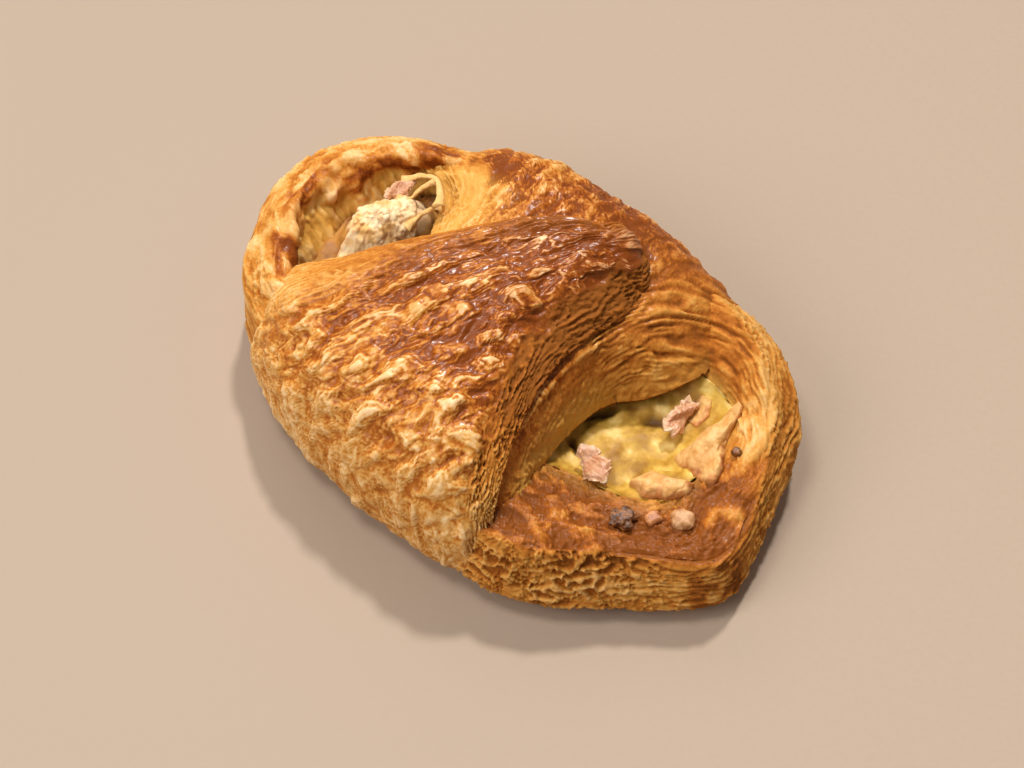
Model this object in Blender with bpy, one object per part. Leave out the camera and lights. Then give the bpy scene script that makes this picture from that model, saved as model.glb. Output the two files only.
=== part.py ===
"""Ham and cheese croissant: one square of laminated dough, two corners folded over the middle.

Frame: millimetres here, metres in the mesh. X runs along the length from end A (-X, raised)
to end C (+X, low), Y across, Z up. The origin is under the middle of the bounding box.
Near means the -Y side and far the +Y side.
"""
import bpy
import bmesh
import math
import numpy as np
from mathutils.bvhtree import BVHTree

MM = 0.001

# Overall form
BULGE_Z = 11.0
TUCK = 16.0
SHOULDER_NEAR = 2.7
SHOULDER_FAR = 3.4
TOP_Z = 47.0
RIDGE_DROP_A = 9.5
RIDGE_DROP_C = 13.7
RIDGE_X = -8.0
RIDGE_RUN = 60.0

# Radius of the outline seen from above against the direction in degrees
OUTLINE = (
    (-75, 47.7), (-60, 51.7), (-45, 55.5), (-30, 59.5), (-18, 66.0), (-5, 73.0), (5, 71.0),
    (18, 69.5), (30, 70.5), (42, 68.5), (60, 61.0), (75, 56.3), (90, 54.5), (105, 56.0),
    (120, 60.1), (135, 66.3), (150, 73.5), (165, 82.0), (174, 84.5), (183, 83.5), (195, 78.5),
    (210, 69.6), (225, 59.9), (240, 52.5), (255, 48.3), (270, 46.7),
)

# Rim of the base: insets are from the outline, heights from the floor, by direction in degrees
UNDER_FLAP = ((0, 0), (50, 0), (66, 1), (140, 1), (155, 0), (180, 0), (200, 0), (212, 1), (292, 1), (306, 0))
UNDER_FLAP_INSET = 1.2
CREST_Z = (
    (0, 19), (20, 24), (45, 28.5), (60, 29), (90, 27), (125, 29), (145, 35), (160, 37), (180, 35.5),
    (200, 33.5), (212, 31), (240, 26), (285, 24), (300, 24.5), (320, 23), (340, 20.5),
)
CREST_IN = (
    (0, 5), (20, 7), (30, 10), (45, 12), (62, 10), (90, 9), (125, 9), (150, 13), (165, 14), (180, 12),
    (195, 12), (210, 12), (240, 9), (285, 8), (310, 7.5), (340, 9),
)
LIP_Z = (
    (0, 6), (20, 13), (45, 20), (62, 21), (90, 18), (125, 22), (145, 30), (165, 31), (180, 29),
    (203, 26), (240, 18), (285, 12), (310, 8), (340, 6),
)
LIP_IN = (
    (0, 0.8), (20, 1.2), (45, 3), (62, 3), (90, 3), (125, 5), (150, 6), (170, 5), (180, 4.2), (203, 3.2),
    (240, 3), (285, 2), (310, 1), (340, 0.8),
)
POCKET_IN = (
    (6, 20.5), (16, 17), (27, 16.5), (36, 20), (46, 26), (58, 28), (90, 16), (125, 15), (150, 21),
    (165, 22), (180, 23), (195, 20), (210, 18), (240, 14), (285, 15), (303, 25), (322, 34), (338, 34),
    (348, 30), (358, 23.5),
)
POCKET_Z = (
    (0, 18), (20, 19.5), (45, 20), (60, 20), (90, 19), (125, 20), (150, 26), (180, 24), (203, 24),
    (240, 19), (285, 18), (320, 17.5), (343, 17),
)
WALL_RUN = 6.0
WALL_FOOT_Z = 11.5
FLOOR_RUN = 7.0
FLOOR_Z = 7.0
LAYERS = 3
LAYER_DEPTH = 0.55

# Flap folded last, from the near side over the top: stations are degrees round the fold
OVER = {
    "lower": ((-70, 0.0), (70, 0.0)),
    "near_in": -0.6,
    "far_in": 0.5,
    "turn": (-36.0, 136.0),
    "left": (
        (-36, -50), (-15, -58), (5, -63), (20, -66), (34, -66), (55, -59), (68, -50.5), (83, -43.5),
        (100, -35), (115, -27), (125, -21), (131, -15), (136, -7),
    ),
    "left_run": ((-36, 1), (5, 3), (20, 9), (34, 13), (55, 13), (68, 11), (83, 8), (100, 5), (136, 3)),
    "left_roll": ((-36, 3.0), (20, 3.0), (45, 1.6), (136, 1.4)),
    "left_roll_run": ((-36, 7.0), (20, 6.0), (50, 2.2), (136, 2.0)),
    "right": (
        (-36, 25), (0, 26), (20, 25), (32, 23.5), (43, 21), (55, 18.5), (66, 16.5), (79, 14.5),
        (93, 13.5), (111, 14.5), (128, 17), (136, 16.5),
    ),
    "right_roll": ((-36, 2.4), (60, 2.6), (136, 2.6)),
    "right_roll_run": ((-36, 3.2), (60, 4.0), (136, 3.6)),
    "right_run": ((-36, 3), (10, 5), (32, 7), (55, 9), (79, 11), (111, 12), (130, 11), (136, 8)),
    "left_depth": ((-36, 8), (34, 8), (68, 6), (100, 5), (136, 7)),
    "right_depth": ((-36, 9), (34, 8), (80, 7.5), (115, 9.5), (136, 10)),
    "mid_depth": ((-36, 8), (100, 8), (136, 9.5)),
}

# Flap folded first, from the far side over the top and down inside the other
UNDER = {
    "lower": ((-70, 0.0), (-45, 0.5), (-28, 2.0), (-5, 5.0), (10, 7.5), (40, 8.5)),
    "near_in": 9.0,
    "far_in": 0.0,
    "turn": (216.0, 10.0),
    "left": (
        (10, 13), (28, 10), (40, 4), (52, -12), (64, -26), (80, -29), (100, -35), (112, -40), (121, -43),
        (128, -47), (133, -54), (138, -60), (145, -65), (155, -67), (170, -62), (216, -46),
    ),
    "left_run": (
        (46, 3), (100, 6), (112, 9), (121, 11), (128, 14), (133, 19), (138, 23), (145, 24), (155, 20),
        (170, 9), (216, 1),
    ),
    "right": (
        (10, 26), (46, 25), (80, 24), (100, 24.5), (115, 27), (127, 32), (140, 36), (150, 38), (165, 38),
        (180, 37), (216, 30),
    ),
    "left_roll": ((46, 1.6), (92, 2.0), (108, 5.5), (124, 6.6), (134, 4.6), (155, 3.2), (216, 3.2)),
    "left_roll_run": ((46, 2.2), (92, 3.4), (108, 7.5), (124, 8.5), (155, 7.0), (216, 7.0)),
    "right_roll": ((10, 1.2), (60, 1.8), (104, 2.4), (122, 4.6), (150, 4.4), (216, 3.4)),
    "right_roll_run": ((10, 2.2), (60, 2.6), (104, 4.0), (122, 8.0), (150, 8.0), (216, 7.0)),
    "right_run": ((10, 3), (46, 9), (100, 11), (127, 13), (150, 9), (165, 4), (216, 1)),
    "left_depth": ((46, 8), (94, 8.5), (110, 11), (124, 11), (134, 8), (143, 6.5), (152, 9), (216, 8)),
    "right_depth": ((10, 6), (28, 11), (46, 17), (100, 19), (120, 18), (135, 14), (150, 9), (216, 8)),
    "mid_depth": ((10, 6), (46, 7), (120, 8), (216, 8)),
}
NOSE_TURN = 7.0

# Filling: cheese sauce from one pocket through to the other
GAP = 0.45
FILL_LEVEL = ((-70, 24), (-50, 25), (-35, 27), (-20, 29), (-6, 26), (7, 17), (14, 13.5), (35, 13), (60, 16))
FILL_EDGE_RUN = 6.0
# Melted lumps: centre x, centre y, half length, half width, direction in degrees, height
MELT_LUMPS = (
    (-50.0, 8.5, 13.5, 7.5, 60.0, 8.5),
    (48.6, 16.5, 11.5, 5.0, 98.0, 8.5),
    (44.2, 0.8, 8.0, 4.4, 42.0, 6.5),
)

# Ham: centre x, centre y, length, width, thickness, heading, tilt, curl
HAM_PIECES = {
    "ham_flake": (29.8, -6.4, 10.4, 6.4, 1.4, -25.0, 20.0, 1.0),
    "ham_slice": (36.0, 18.2, 10.5, 5.0, 1.4, 97.0, 38.0, 1.0),
    "ham_strip": (-53.5, 16.5, 8.0, 4.0, 1.6, 70.0, 10.0, 1.5),
}
HAM_LIFT = 0.5

# Browned bits on the rim at end C: x, y, size, turn
RIM_BITS = (
    (44.3, -13.8, 5.6, 20.0),
    (49.5, -8.8, 4.2, 65.0),
    (55.0, -4.6, 5.6, 35.0),
    (54.2, 16.8, 3.2, 10.0),
)
RIM_BIT_LIFT = 1.3

# Puffing of the dough
PUFF = 0.55
PUFF_SIZE = 13.0
BLISTER = 0.4
BLISTER_WIDE = 5.5
BLISTER_LONG = 12.0
SEED = 11


def table(x, stations, period=None):
    """Smooth curve through the stations without overshoot, clamped at its ends or closed."""
    xs = np.array([s[0] for s in stations], float)
    ys = np.array([s[1] for s in stations], float)
    x = np.asarray(x, float)
    if period:
        x = np.mod(x - xs[0], period) + xs[0]
        xs = np.concatenate(([xs[-1] - period], xs, [xs[0] + period, xs[1] + period]))
        ys = np.concatenate(([ys[-1]], ys, [ys[0], ys[1]]))
    rise = np.diff(ys) / np.diff(xs)
    pair = rise[:-1] * rise[1:]
    inner = np.where(pair > 0, 2 * pair / np.where(pair > 0, rise[:-1] + rise[1:], 1.0), 0.0)
    slope = np.concatenate(([rise[0]], inner, [rise[-1]]))
    i = np.clip(np.searchsorted(xs, x, side="right") - 1, 0, len(xs) - 2)
    h = xs[i + 1] - xs[i]
    t = np.clip((x - xs[i]) / h, 0, 1)
    a = (2 * t**3 - 3 * t**2 + 1) * ys[i] + (t**3 - 2 * t**2 + t) * h * slope[i]
    b = (3 * t**2 - 2 * t**3) * ys[i + 1] + (t**3 - t**2) * h * slope[i + 1]
    return a + b


def smooth(x, lo, hi):
    t = np.clip((np.asarray(x, float) - lo) / (hi - lo), 0, 1)
    return t * t * (3 - 2 * t)


def lattice(ix, iy, iz, seed):
    h = (ix * 374761393 + iy * 668265263 + iz * 1274126177 + seed * 974634777) & 0xFFFFFFFF
    h = ((h ^ (h >> 13)) * 1103515245) & 0xFFFFFFFF
    h = ((h ^ (h >> 16)) * 2246822519) & 0xFFFFFFFF
    return (h ^ (h >> 15)) / 2147483647.5 - 1.0


def noise(p, size, seed):
    """Smooth random field between -1 and 1; size is one number or one for each axis."""
    q = np.asarray(p, float) / np.asarray(size, float)
    i = np.floor(q).astype(np.int64)
    f = q - i
    f = f * f * f * (f * (f * 6 - 15) + 10)
    out = 0
    for dx in (0, 1):
        for dy in (0, 1):
            for dz in (0, 1):
                w = np.where(dx, f[..., 0], 1 - f[..., 0])
                w = w * np.where(dy, f[..., 1], 1 - f[..., 1])
                w = w * np.where(dz, f[..., 2], 1 - f[..., 2])
                out = out + w * lattice(i[..., 0] + dx, i[..., 1] + dy, i[..., 2] + dz, seed)
    return out


def outline_radius(deg):
    return table(deg, OUTLINE, 360)


def side_curve(sign):
    deg = np.linspace(0.0, 180.0, 721) * sign
    r = outline_radius(deg)
    x = r * np.cos(np.radians(deg))
    y = np.abs(r * np.sin(np.radians(deg)))
    order = np.argsort(x)
    return x[order], y[order]


FAR_SIDE = side_curve(1.0)
NEAR_SIDE = side_curve(-1.0)


def half_width(x, far):
    return np.maximum(np.where(far, np.interp(x, *FAR_SIDE), np.interp(x, *NEAR_SIDE)), 3.0)


def ridge(x):
    drop = np.where(x < RIDGE_X, RIDGE_DROP_A, RIDGE_DROP_C)
    return TOP_Z - drop * (np.abs(x - RIDGE_X) / RIDGE_RUN) ** 2.2


def arch(x, turn, spec):
    """Point of a flap's skin: x along the length, turn in degrees from the near bulge over the top."""
    c = np.cos(np.radians(turn))
    s = np.sin(np.radians(turn))
    far = c < 0
    w = half_width(x, far) - np.where(far, spec["far_in"], spec["near_in"])
    h = np.where(s >= 0, ridge(x) - BULGE_Z - table(x, spec["lower"]), TUCK)
    n = np.where(far, SHOULDER_FAR, SHOULDER_NEAR)
    r = ((np.abs(c) / w) ** n + (np.abs(s) / h) ** n) ** (-1 / n)
    return np.stack([x + 0 * r, -r * c, BULGE_Z + r * s], -1)


def arch_normal(x, turn, spec):
    step = 0.5
    along = arch(x + step, turn, spec) - arch(x - step, turn, spec)
    round_fold = arch(x, turn + step, spec) - arch(x, turn - step, spec)
    n = np.cross(round_fold, along)
    n /= np.maximum(np.linalg.norm(n, axis=-1, keepdims=True), 1e-9)
    p = arch(x, turn, spec)
    away = np.stack([0 * p[..., 0], p[..., 1], p[..., 2] - BULGE_Z], -1)
    side = np.sum(n * away, -1, keepdims=True)
    return n * np.where(side < 0, -1.0, 1.0)


def puff(p):
    return PUFF * noise(p, PUFF_SIZE, SEED) + 0.45 * PUFF * noise(p, 0.5 * PUFF_SIZE, SEED + 1)


def blister(x, turn):
    """Long blisters of the skin, running round the fold."""
    round_mm = turn * 0.62
    q = np.stack([x, round_mm, 0 * x], -1)
    return BLISTER * noise(q, (BLISTER_WIDE, BLISTER_LONG, 10.0), SEED + 7)


def flap(spec, n_top, n_face, n_under, n_len, n_nose):
    """Closed rings round the flap, from its root by the floor to its nose."""
    start, end = spec["turn"]
    way = math.copysign(1.0, end - start)
    turns = [start + (end - start) * k / (n_len - 1) for k in range(n_len)]
    sizes = [1.0] * n_len
    for j in range(1, n_nose + 1):
        a = 0.5 * math.pi * j / (n_nose + 0.35)
        turns.append(end + way * NOSE_TURN * math.sin(a))
        sizes.append(math.cos(a))
    top = np.linspace(0, 1, n_top)
    face = np.linspace(0, 1, n_face + 2)[1:-1]
    under = np.linspace(0, 1, n_under)
    step = np.sin(face * math.pi * 2 * LAYERS - 0.5 * math.pi) * np.sin(face * math.pi)
    rows = []
    for turn, size in zip(turns, sizes):
        t = min(max(turn, min(start, end)), max(start, end))
        left, right = table(t, spec["left"]), table(t, spec["right"])
        a0, a1 = left + table(t, spec["left_run"]), right - table(t, spec["right_run"])
        dl, dr = table(t, spec["left_depth"]), table(t, spec["right_depth"])
        dm = table(t, spec["mid_depth"])
        roll_l, roll_r = table(t, spec["left_roll"]), table(t, spec["right_roll"])
        run_l, run_r = table(t, spec["left_roll_run"]), table(t, spec["right_roll_run"])
        tx = a0 + (a1 - a0) * top
        td = roll_l * np.exp(-(tx - a0) / run_l) + roll_r * np.exp(-(a1 - tx) / run_r)
        rx = a1 + (right - a1) * face + 0.6 * np.sin(math.pi * face)
        rd = roll_r + (dr - roll_r) * face + LAYER_DEPTH * step
        ux = right + (left - right) * under
        ud = dr + (dl - dr) * under + (dm - 0.5 * (dl + dr)) * np.sin(math.pi * under) ** 2
        lx = left + (a0 - left) * face - 0.6 * np.sin(math.pi * face)
        ld = dl + (roll_l - dl) * face + LAYER_DEPTH * step
        x = np.concatenate([tx, rx, ux, lx])
        d = np.concatenate([td, rd, ud, ld])
        mid_x, mid_d = x.mean(), 0.28 * (dl + dr)
        x = mid_x + (x - mid_x) * size
        d = mid_d + (d - mid_d) * size
        turn_row = np.full_like(x, turn)
        p = arch(x, turn_row, spec)
        n = arch_normal(x, turn_row, spec)
        shown = np.exp(-np.maximum(d, 0) / 5.0)
        p = p - n * (d - shown * (puff(p) + blister(x, turn_row)))[:, None]
        p[:, 2] = np.maximum(p[:, 2], 0.3)
        rows.append(p)
    return rows


def base_rows(n_round):
    """Rings of the base from the middle of the underside out, over the rim and into the pocket."""
    deg = np.arange(n_round) * 360.0 / n_round
    rho = outline_radius(deg) - UNDER_FLAP_INSET * table(deg, UNDER_FLAP, 360)
    crest_z = table(deg, CREST_Z, 360)
    crest_in = table(deg, CREST_IN, 360)
    lip_z = table(deg, LIP_Z, 360)
    lip_in = table(deg, LIP_IN, 360)
    pocket_in = table(deg, POCKET_IN, 360)
    pocket_z = table(deg, POCKET_Z, 360)
    zero = 0 * rho
    rows = [
        (0.45 * (rho - 9.5), zero), (rho - 9.5, zero), (rho - 5.0, zero + 1.0),
        (rho - 2.2, zero + 3.2), (rho - 0.6 * lip_in, np.minimum(7.0, 0.75 * lip_z)), (rho - lip_in, lip_z),
    ]
    steps = 2 * LAYERS
    for k in range(1, steps + 1):
        f = k / (steps + 1.0)
        groove = LAYER_DEPTH * (1 if k % 2 else -0.6)
        rows.append((rho - lip_in - (crest_in - 1.6 - lip_in) * f - groove, lip_z + (crest_z - 1.0 - lip_z) * f))
    rows.append((rho - crest_in + 1.6, crest_z - 1.0))
    rows.append((rho - crest_in, crest_z))
    rows.append((rho - crest_in - 2.2, crest_z - 0.8))
    rows.append((rho - 0.5 * (crest_in + 2.2 + pocket_in), crest_z - 0.8 - 0.42 * (crest_z - 0.8 - pocket_z)))
    rows.append((rho - pocket_in, pocket_z))
    rows.append((rho - pocket_in - 0.45 * WALL_RUN, 0.45 * pocket_z + 0.55 * WALL_FOOT_Z))
    rows.append((rho - pocket_in - WALL_RUN, zero + WALL_FOOT_Z))
    rows.append((rho - pocket_in - WALL_RUN - FLOOR_RUN, zero + FLOOR_Z))
    rows.append((0.45 * (rho - pocket_in - WALL_RUN - FLOOR_RUN), zero + FLOOR_Z))
    c, s = np.cos(np.radians(deg)), np.sin(np.radians(deg))
    out = []
    for k, (r, z) in enumerate(rows):
        p = np.stack([r * c, r * s, z], -1)
        if 2 < k < len(rows) - 5:
            p += np.stack([c, s, 0.5 + 0 * c], -1) * puff(p)[:, None]
        out.append(p)
    return out


def melt_height(x, y):
    z = table(x, FILL_LEVEL)
    for cx, cy, long_half, wide_half, turn, high in MELT_LUMPS:
        c, s = math.cos(math.radians(turn)), math.sin(math.radians(turn))
        u = ((x - cx) * c + (y - cy) * s) / long_half
        v = (-(x - cx) * s + (y - cy) * c) / wide_half
        z = z + high * np.clip(1 - (np.abs(u) ** 2.6 + np.abs(v) ** 2.6), 0, 1) ** 0.6
    return z + 0.5 * noise(np.stack([x, y, 0 * x], -1), 7.0, SEED + 5)


def filling_rows(n_round):
    deg = np.arange(n_round) * 360.0 / n_round
    rho = outline_radius(deg) - UNDER_FLAP_INSET * table(deg, UNDER_FLAP, 360)
    pocket_in = table(deg, POCKET_IN, 360)
    pocket_z = table(deg, POCKET_Z, 360)
    edge = rho - pocket_in - 1.1
    zero = 0 * rho
    c, s = np.cos(np.radians(deg)), np.sin(np.radians(deg))
    low = [
        (0.45 * (rho - pocket_in - WALL_RUN - FLOOR_RUN), zero + FLOOR_Z + GAP),
        (rho - pocket_in - WALL_RUN - FLOOR_RUN - 0.4, zero + FLOOR_Z + GAP),
        (rho - pocket_in - WALL_RUN - 1.2, zero + WALL_FOOT_Z + 0.2),
        (rho - pocket_in - 0.45 * WALL_RUN - 1.3, 0.45 * pocket_z + 0.55 * WALL_FOOT_Z),
        (edge, pocket_z - 0.3),
    ]
    out = [np.stack([r * c, r * s, z], -1) for r, z in low]
    for f in (0.97, 0.93, 0.87, 0.8, 0.72, 0.62, 0.5, 0.38, 0.25, 0.12):
        r = edge * f
        x, y = r * c, r * s
        rise = np.exp(-(edge - r) / FILL_EDGE_RUN)
        z = melt_height(x, y)
        z = z + (np.maximum(pocket_z - 0.3, z) - z) * rise
        out.append(np.stack([x, y, z], -1))
    return out


def ham_rows(spec, n_long, n_wide, ground_at):
    """A thin curled slab standing on the sauce."""
    cx, cy, length, width, thick, heading, tilt, curl = spec
    u = np.linspace(-0.5, 0.5, n_long)
    v = np.linspace(-0.5, 0.5, n_wide)
    uu, vv = np.meshgrid(u, v, indexing="ij")
    trim = 1 - 0.35 * (2 * np.abs(uu)) ** 3
    a = uu * length + 0.9 * np.sin(6 * vv + 2 * uu + heading)
    b = vv * width * trim * (1 + 0.2 * np.sin(8 * uu + heading))
    wave = curl * (4 * uu * uu - 0.4) + 0.5 * np.sin(9 * uu + 4 * vv)
    ch, sh = math.cos(math.radians(heading)), math.sin(math.radians(heading))
    ct, st = math.cos(math.radians(tilt)), math.sin(math.radians(tilt))
    x = cx + a * ch - (b * ct - wave * st) * sh
    y = cy + a * sh + (b * ct - wave * st) * ch
    lift = b * st + wave * ct
    ground = ground_at(x, y)
    low = float(np.max(ground - lift)) + HAM_LIFT
    z = np.maximum(low + lift, ground + HAM_LIFT)
    bottom = np.stack([x, y, z], -1)
    n = np.array([st * sh, -st * ch, ct])
    edge = np.minimum(1 - 2 * np.abs(uu), 1 - 2 * np.abs(vv))
    fat = thick * (0.35 + 0.65 * smooth(edge, 0.0, 0.4))
    return bottom, bottom + n * fat[..., None]


def new_object(name, verts, faces, material):
    mesh = bpy.data.meshes.new(name)
    mesh.from_pydata([tuple(float(c) * MM for c in v) for v in verts], [], faces)
    mesh.update()
    obj = bpy.data.objects.new(name, mesh)
    bpy.context.scene.collection.objects.link(obj)
    obj.data.materials.append(material)
    outward(obj)
    return obj


def outward(obj):
    bm = bmesh.new()
    bm.from_mesh(obj.data)
    bmesh.ops.recalc_face_normals(bm, faces=bm.faces)
    if bm.calc_volume(signed=True) < 0:
        bmesh.ops.reverse_faces(bm, faces=bm.faces)
    bm.to_mesh(obj.data)
    bm.free()


def loft(name, rows, material):
    """Joins closed rings of equal count and closes both ends with a fan."""
    n = len(rows[0])
    verts = [p for row in rows for p in row]
    faces = []
    for r in range(len(rows) - 1):
        for k in range(n):
            a, b = r * n + k, r * n + (k + 1) % n
            faces.append((a, b, b + n, a + n))
    for row_start in (0, (len(rows) - 1) * n):
        verts.append(np.mean(verts[row_start:row_start + n], axis=0))
        tip = len(verts) - 1
        for k in range(n):
            faces.append((row_start + k, row_start + (k + 1) % n, tip))
    return new_object(name, verts, faces, material)


def slab(name, bottom, top, material):
    n, m = bottom.shape[:2]
    verts = list(bottom.reshape(-1, 3)) + list(top.reshape(-1, 3))
    off = n * m
    faces = []
    for i in range(n - 1):
        for j in range(m - 1):
            a = i * m + j
            faces.append((a, a + 1, a + m + 1, a + m))
            faces.append((a + off, a + m + off, a + m + 1 + off, a + 1 + off))
    border = [(i, 0) for i in range(n)] + [(n - 1, j) for j in range(1, m)]
    border += [(i, m - 1) for i in range(n - 2, -1, -1)] + [(0, j) for j in range(m - 2, 0, -1)]
    ids = [i * m + j for i, j in border]
    for k in range(len(ids)):
        a, b = ids[k], ids[(k + 1) % len(ids)]
        faces.append((a, b, b + off, a + off))
    return new_object(name, verts, faces, material)


def surface_reader(obj):
    """Height of an object's upper surface at points seen from above, in millimetres."""
    tree = BVHTree.FromPolygons(
        [v.co[:] for v in obj.data.vertices], [tuple(p.vertices) for p in obj.data.polygons]
    )

    def read(x, y):
        out = np.zeros_like(x)
        for k in np.ndindex(x.shape):
            hit = tree.ray_cast((x[k] * MM, y[k] * MM, 0.1), (0, 0, -1))[0]
            out[k] = hit[2] / MM if hit else 0.0
        return out

    return read


def rim_bit(name, spec, ground, material):
    """A browned bit sunk into the rim, a rounded block."""
    cx, cy, size, turn = spec
    c, s = math.cos(math.radians(turn)), math.sin(math.radians(turn))
    rows = []
    for k, (grow, z) in enumerate(((0.55, -0.55), (0.95, -0.3), (1.0, 0.05), (0.9, 0.38), (0.5, 0.52))):
        ring = []
        for j in range(12):
            a = 2 * math.pi * j / 12
            r = 0.5 * size * grow / (abs(math.cos(a)) ** 3 + abs(math.sin(a)) ** 3) ** (1 / 3)
            r = r * (1 + 0.08 * math.sin(3 * a + k))
            x, y = r * math.cos(a), 0.8 * r * math.sin(a)
            ring.append((cx + x * c - y * s, cy + x * s + y * c, ground + 0.8 * size * z))
        rows.append(np.array(ring))
    return loft(name, rows, material)


def rim_height(x, y):
    deg = math.degrees(math.atan2(y, x))
    rho = float(outline_radius(deg))
    inset = rho - math.hypot(x, y)
    a, b = float(table(deg, CREST_IN, 360)) + 2.2, float(table(deg, POCKET_IN, 360))
    za, zb = float(table(deg, CREST_Z, 360)) - 0.8, float(table(deg, POCKET_Z, 360))
    f = min(max((inset - a) / (b - a), 0.0), 1.0)
    return za + (zb - za) * f


def material(name, colour, roughness):
    mat = bpy.data.materials.new(name)
    mat.use_nodes = True
    shader = mat.node_tree.nodes["Principled BSDF"]
    shader.inputs["Base Color"].default_value = (*colour, 1.0)
    shader.inputs["Roughness"].default_value = roughness
    return mat


def unite(target, others):
    """One applied union over a collection whose objects are then removed."""
    group = bpy.data.collections.new("to_unite")
    bpy.context.scene.collection.children.link(group)
    for obj in others:
        bpy.context.scene.collection.objects.unlink(obj)
        group.objects.link(obj)
    mod = target.modifiers.new("union", "BOOLEAN")
    mod.operation = "UNION"
    mod.operand_type = "COLLECTION"
    mod.collection = group
    mod.solver = "MANIFOLD"
    bpy.context.view_layer.update()
    depsgraph = bpy.context.evaluated_depsgraph_get()
    result = bpy.data.meshes.new_from_object(target.evaluated_get(depsgraph))
    target.modifiers.clear()
    target.data = result
    for obj in list(group.objects):
        bpy.data.objects.remove(obj, do_unlink=True)
    bpy.data.collections.remove(group)


def tidy(obj):
    bm = bmesh.new()
    bm.from_mesh(obj.data)
    bmesh.ops.triangulate(bm, faces=bm.faces)
    left = set(bm.faces)
    shells = []
    while left:
        stack = [left.pop()]
        shell = list(stack)
        while stack:
            for edge in stack.pop().edges:
                for face in edge.link_faces:
                    if len(edge.link_faces) == 2 and face in left:
                        left.discard(face)
                        stack.append(face)
                        shell.append(face)
        shells.append(shell)
    shells.sort(key=len)
    for shell in shells[:-1]:
        bmesh.ops.delete(bm, geom=shell, context="FACES")
    loose = [v for v in bm.verts if not v.link_faces]
    bmesh.ops.delete(bm, geom=loose, context="VERTS")
    bm.to_mesh(obj.data)
    bm.free()
    for poly in obj.data.polygons:
        poly.use_smooth = True


def main():
    for obj in list(bpy.data.objects):
        bpy.data.objects.remove(obj, do_unlink=True)
    dough = material("baked_dough", (0.56, 0.27, 0.08), 0.45)
    cheese = material("cheese_sauce", (0.78, 0.56, 0.2), 0.4)
    ham = material("cooked_ham", (0.72, 0.36, 0.28), 0.45)

    pastry = loft("pastry", base_rows(96), dough)
    over = loft("over_flap", flap(OVER, 23, 5, 8, 38, 4), dough)
    under = loft("under_flap", flap(UNDER, 17, 5, 8, 30, 4), dough)
    bits = []
    for k, spec in enumerate(RIM_BITS):
        bits.append(rim_bit("rim_bit_%d" % k, spec, rim_height(spec[0], spec[1]) + RIM_BIT_LIFT, dough))
    unite(pastry, [over, under] + bits)
    tidy(pastry)

    filling = loft("filling", filling_rows(64), cheese)
    tidy(filling)
    parts = [pastry, filling]
    ground_at = surface_reader(filling)
    for name, spec in HAM_PIECES.items():
        bottom, top = ham_rows(spec, 9, 6, ground_at)
        piece = slab(name, bottom, top, ham)
        tidy(piece)
        parts.append(piece)

    low = np.min([np.min([v.co[:] for v in o.data.vertices], axis=0) for o in parts], axis=0)
    high = np.max([np.max([v.co[:] for v in o.data.vertices], axis=0) for o in parts], axis=0)
    shift = (-0.5 * (low[0] + high[0]), -0.5 * (low[1] + high[1]), -low[2])
    for obj in parts:
        for v in obj.data.vertices:
            v.co = (v.co[0] + shift[0], v.co[1] + shift[1], v.co[2] + shift[2])
        obj.data.update()
    print("SIZE_MM", [round(float(h - l) / MM, 2) for l, h in zip(low, high)])
    print("SHIFT_MM", [round(float(s) / MM, 3) for s in shift])


main()
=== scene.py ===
"""Looks of the ham and cheese croissant: fine dough surfaces, filling, ham, materials, light and camera.

Lengths are millimetres until a mesh is made. The dough's form comes from the same named values as
the solids: a base with an open pocket at each end and two flaps folded over the middle. Sizes of the
random fields are millimetres too, and the last number given to one is its seed.
"""

import math

import bpy
import numpy as np
from mathutils import Matrix, Vector
from mathutils.bvhtree import BVHTree


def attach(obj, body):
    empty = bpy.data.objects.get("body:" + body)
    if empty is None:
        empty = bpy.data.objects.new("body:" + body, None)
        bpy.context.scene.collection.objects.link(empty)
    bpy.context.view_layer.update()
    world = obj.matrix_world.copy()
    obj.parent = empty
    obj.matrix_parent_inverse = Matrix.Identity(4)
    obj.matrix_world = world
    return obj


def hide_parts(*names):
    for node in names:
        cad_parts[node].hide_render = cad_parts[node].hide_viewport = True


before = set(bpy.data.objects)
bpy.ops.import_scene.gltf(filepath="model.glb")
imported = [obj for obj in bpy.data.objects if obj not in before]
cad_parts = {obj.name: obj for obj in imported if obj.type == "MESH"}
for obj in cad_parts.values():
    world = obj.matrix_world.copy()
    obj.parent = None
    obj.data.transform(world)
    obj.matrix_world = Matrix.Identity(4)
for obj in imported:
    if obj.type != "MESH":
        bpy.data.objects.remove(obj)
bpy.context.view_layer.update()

MM = 0.001
# From the middle of the outline to the middle of the bounding box
SHIFT = np.array([5.077, -3.341, 0.0])

# Form of the dough, as in the solids
BULGE_Z = 11.0
TUCK = 16.0
SHOULDER_NEAR = 2.7
SHOULDER_FAR = 3.4
TOP_Z = 47.0
RIDGE_DROP_A = 9.5
RIDGE_DROP_C = 13.7
RIDGE_X = -8.0
RIDGE_RUN = 60.0

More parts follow.
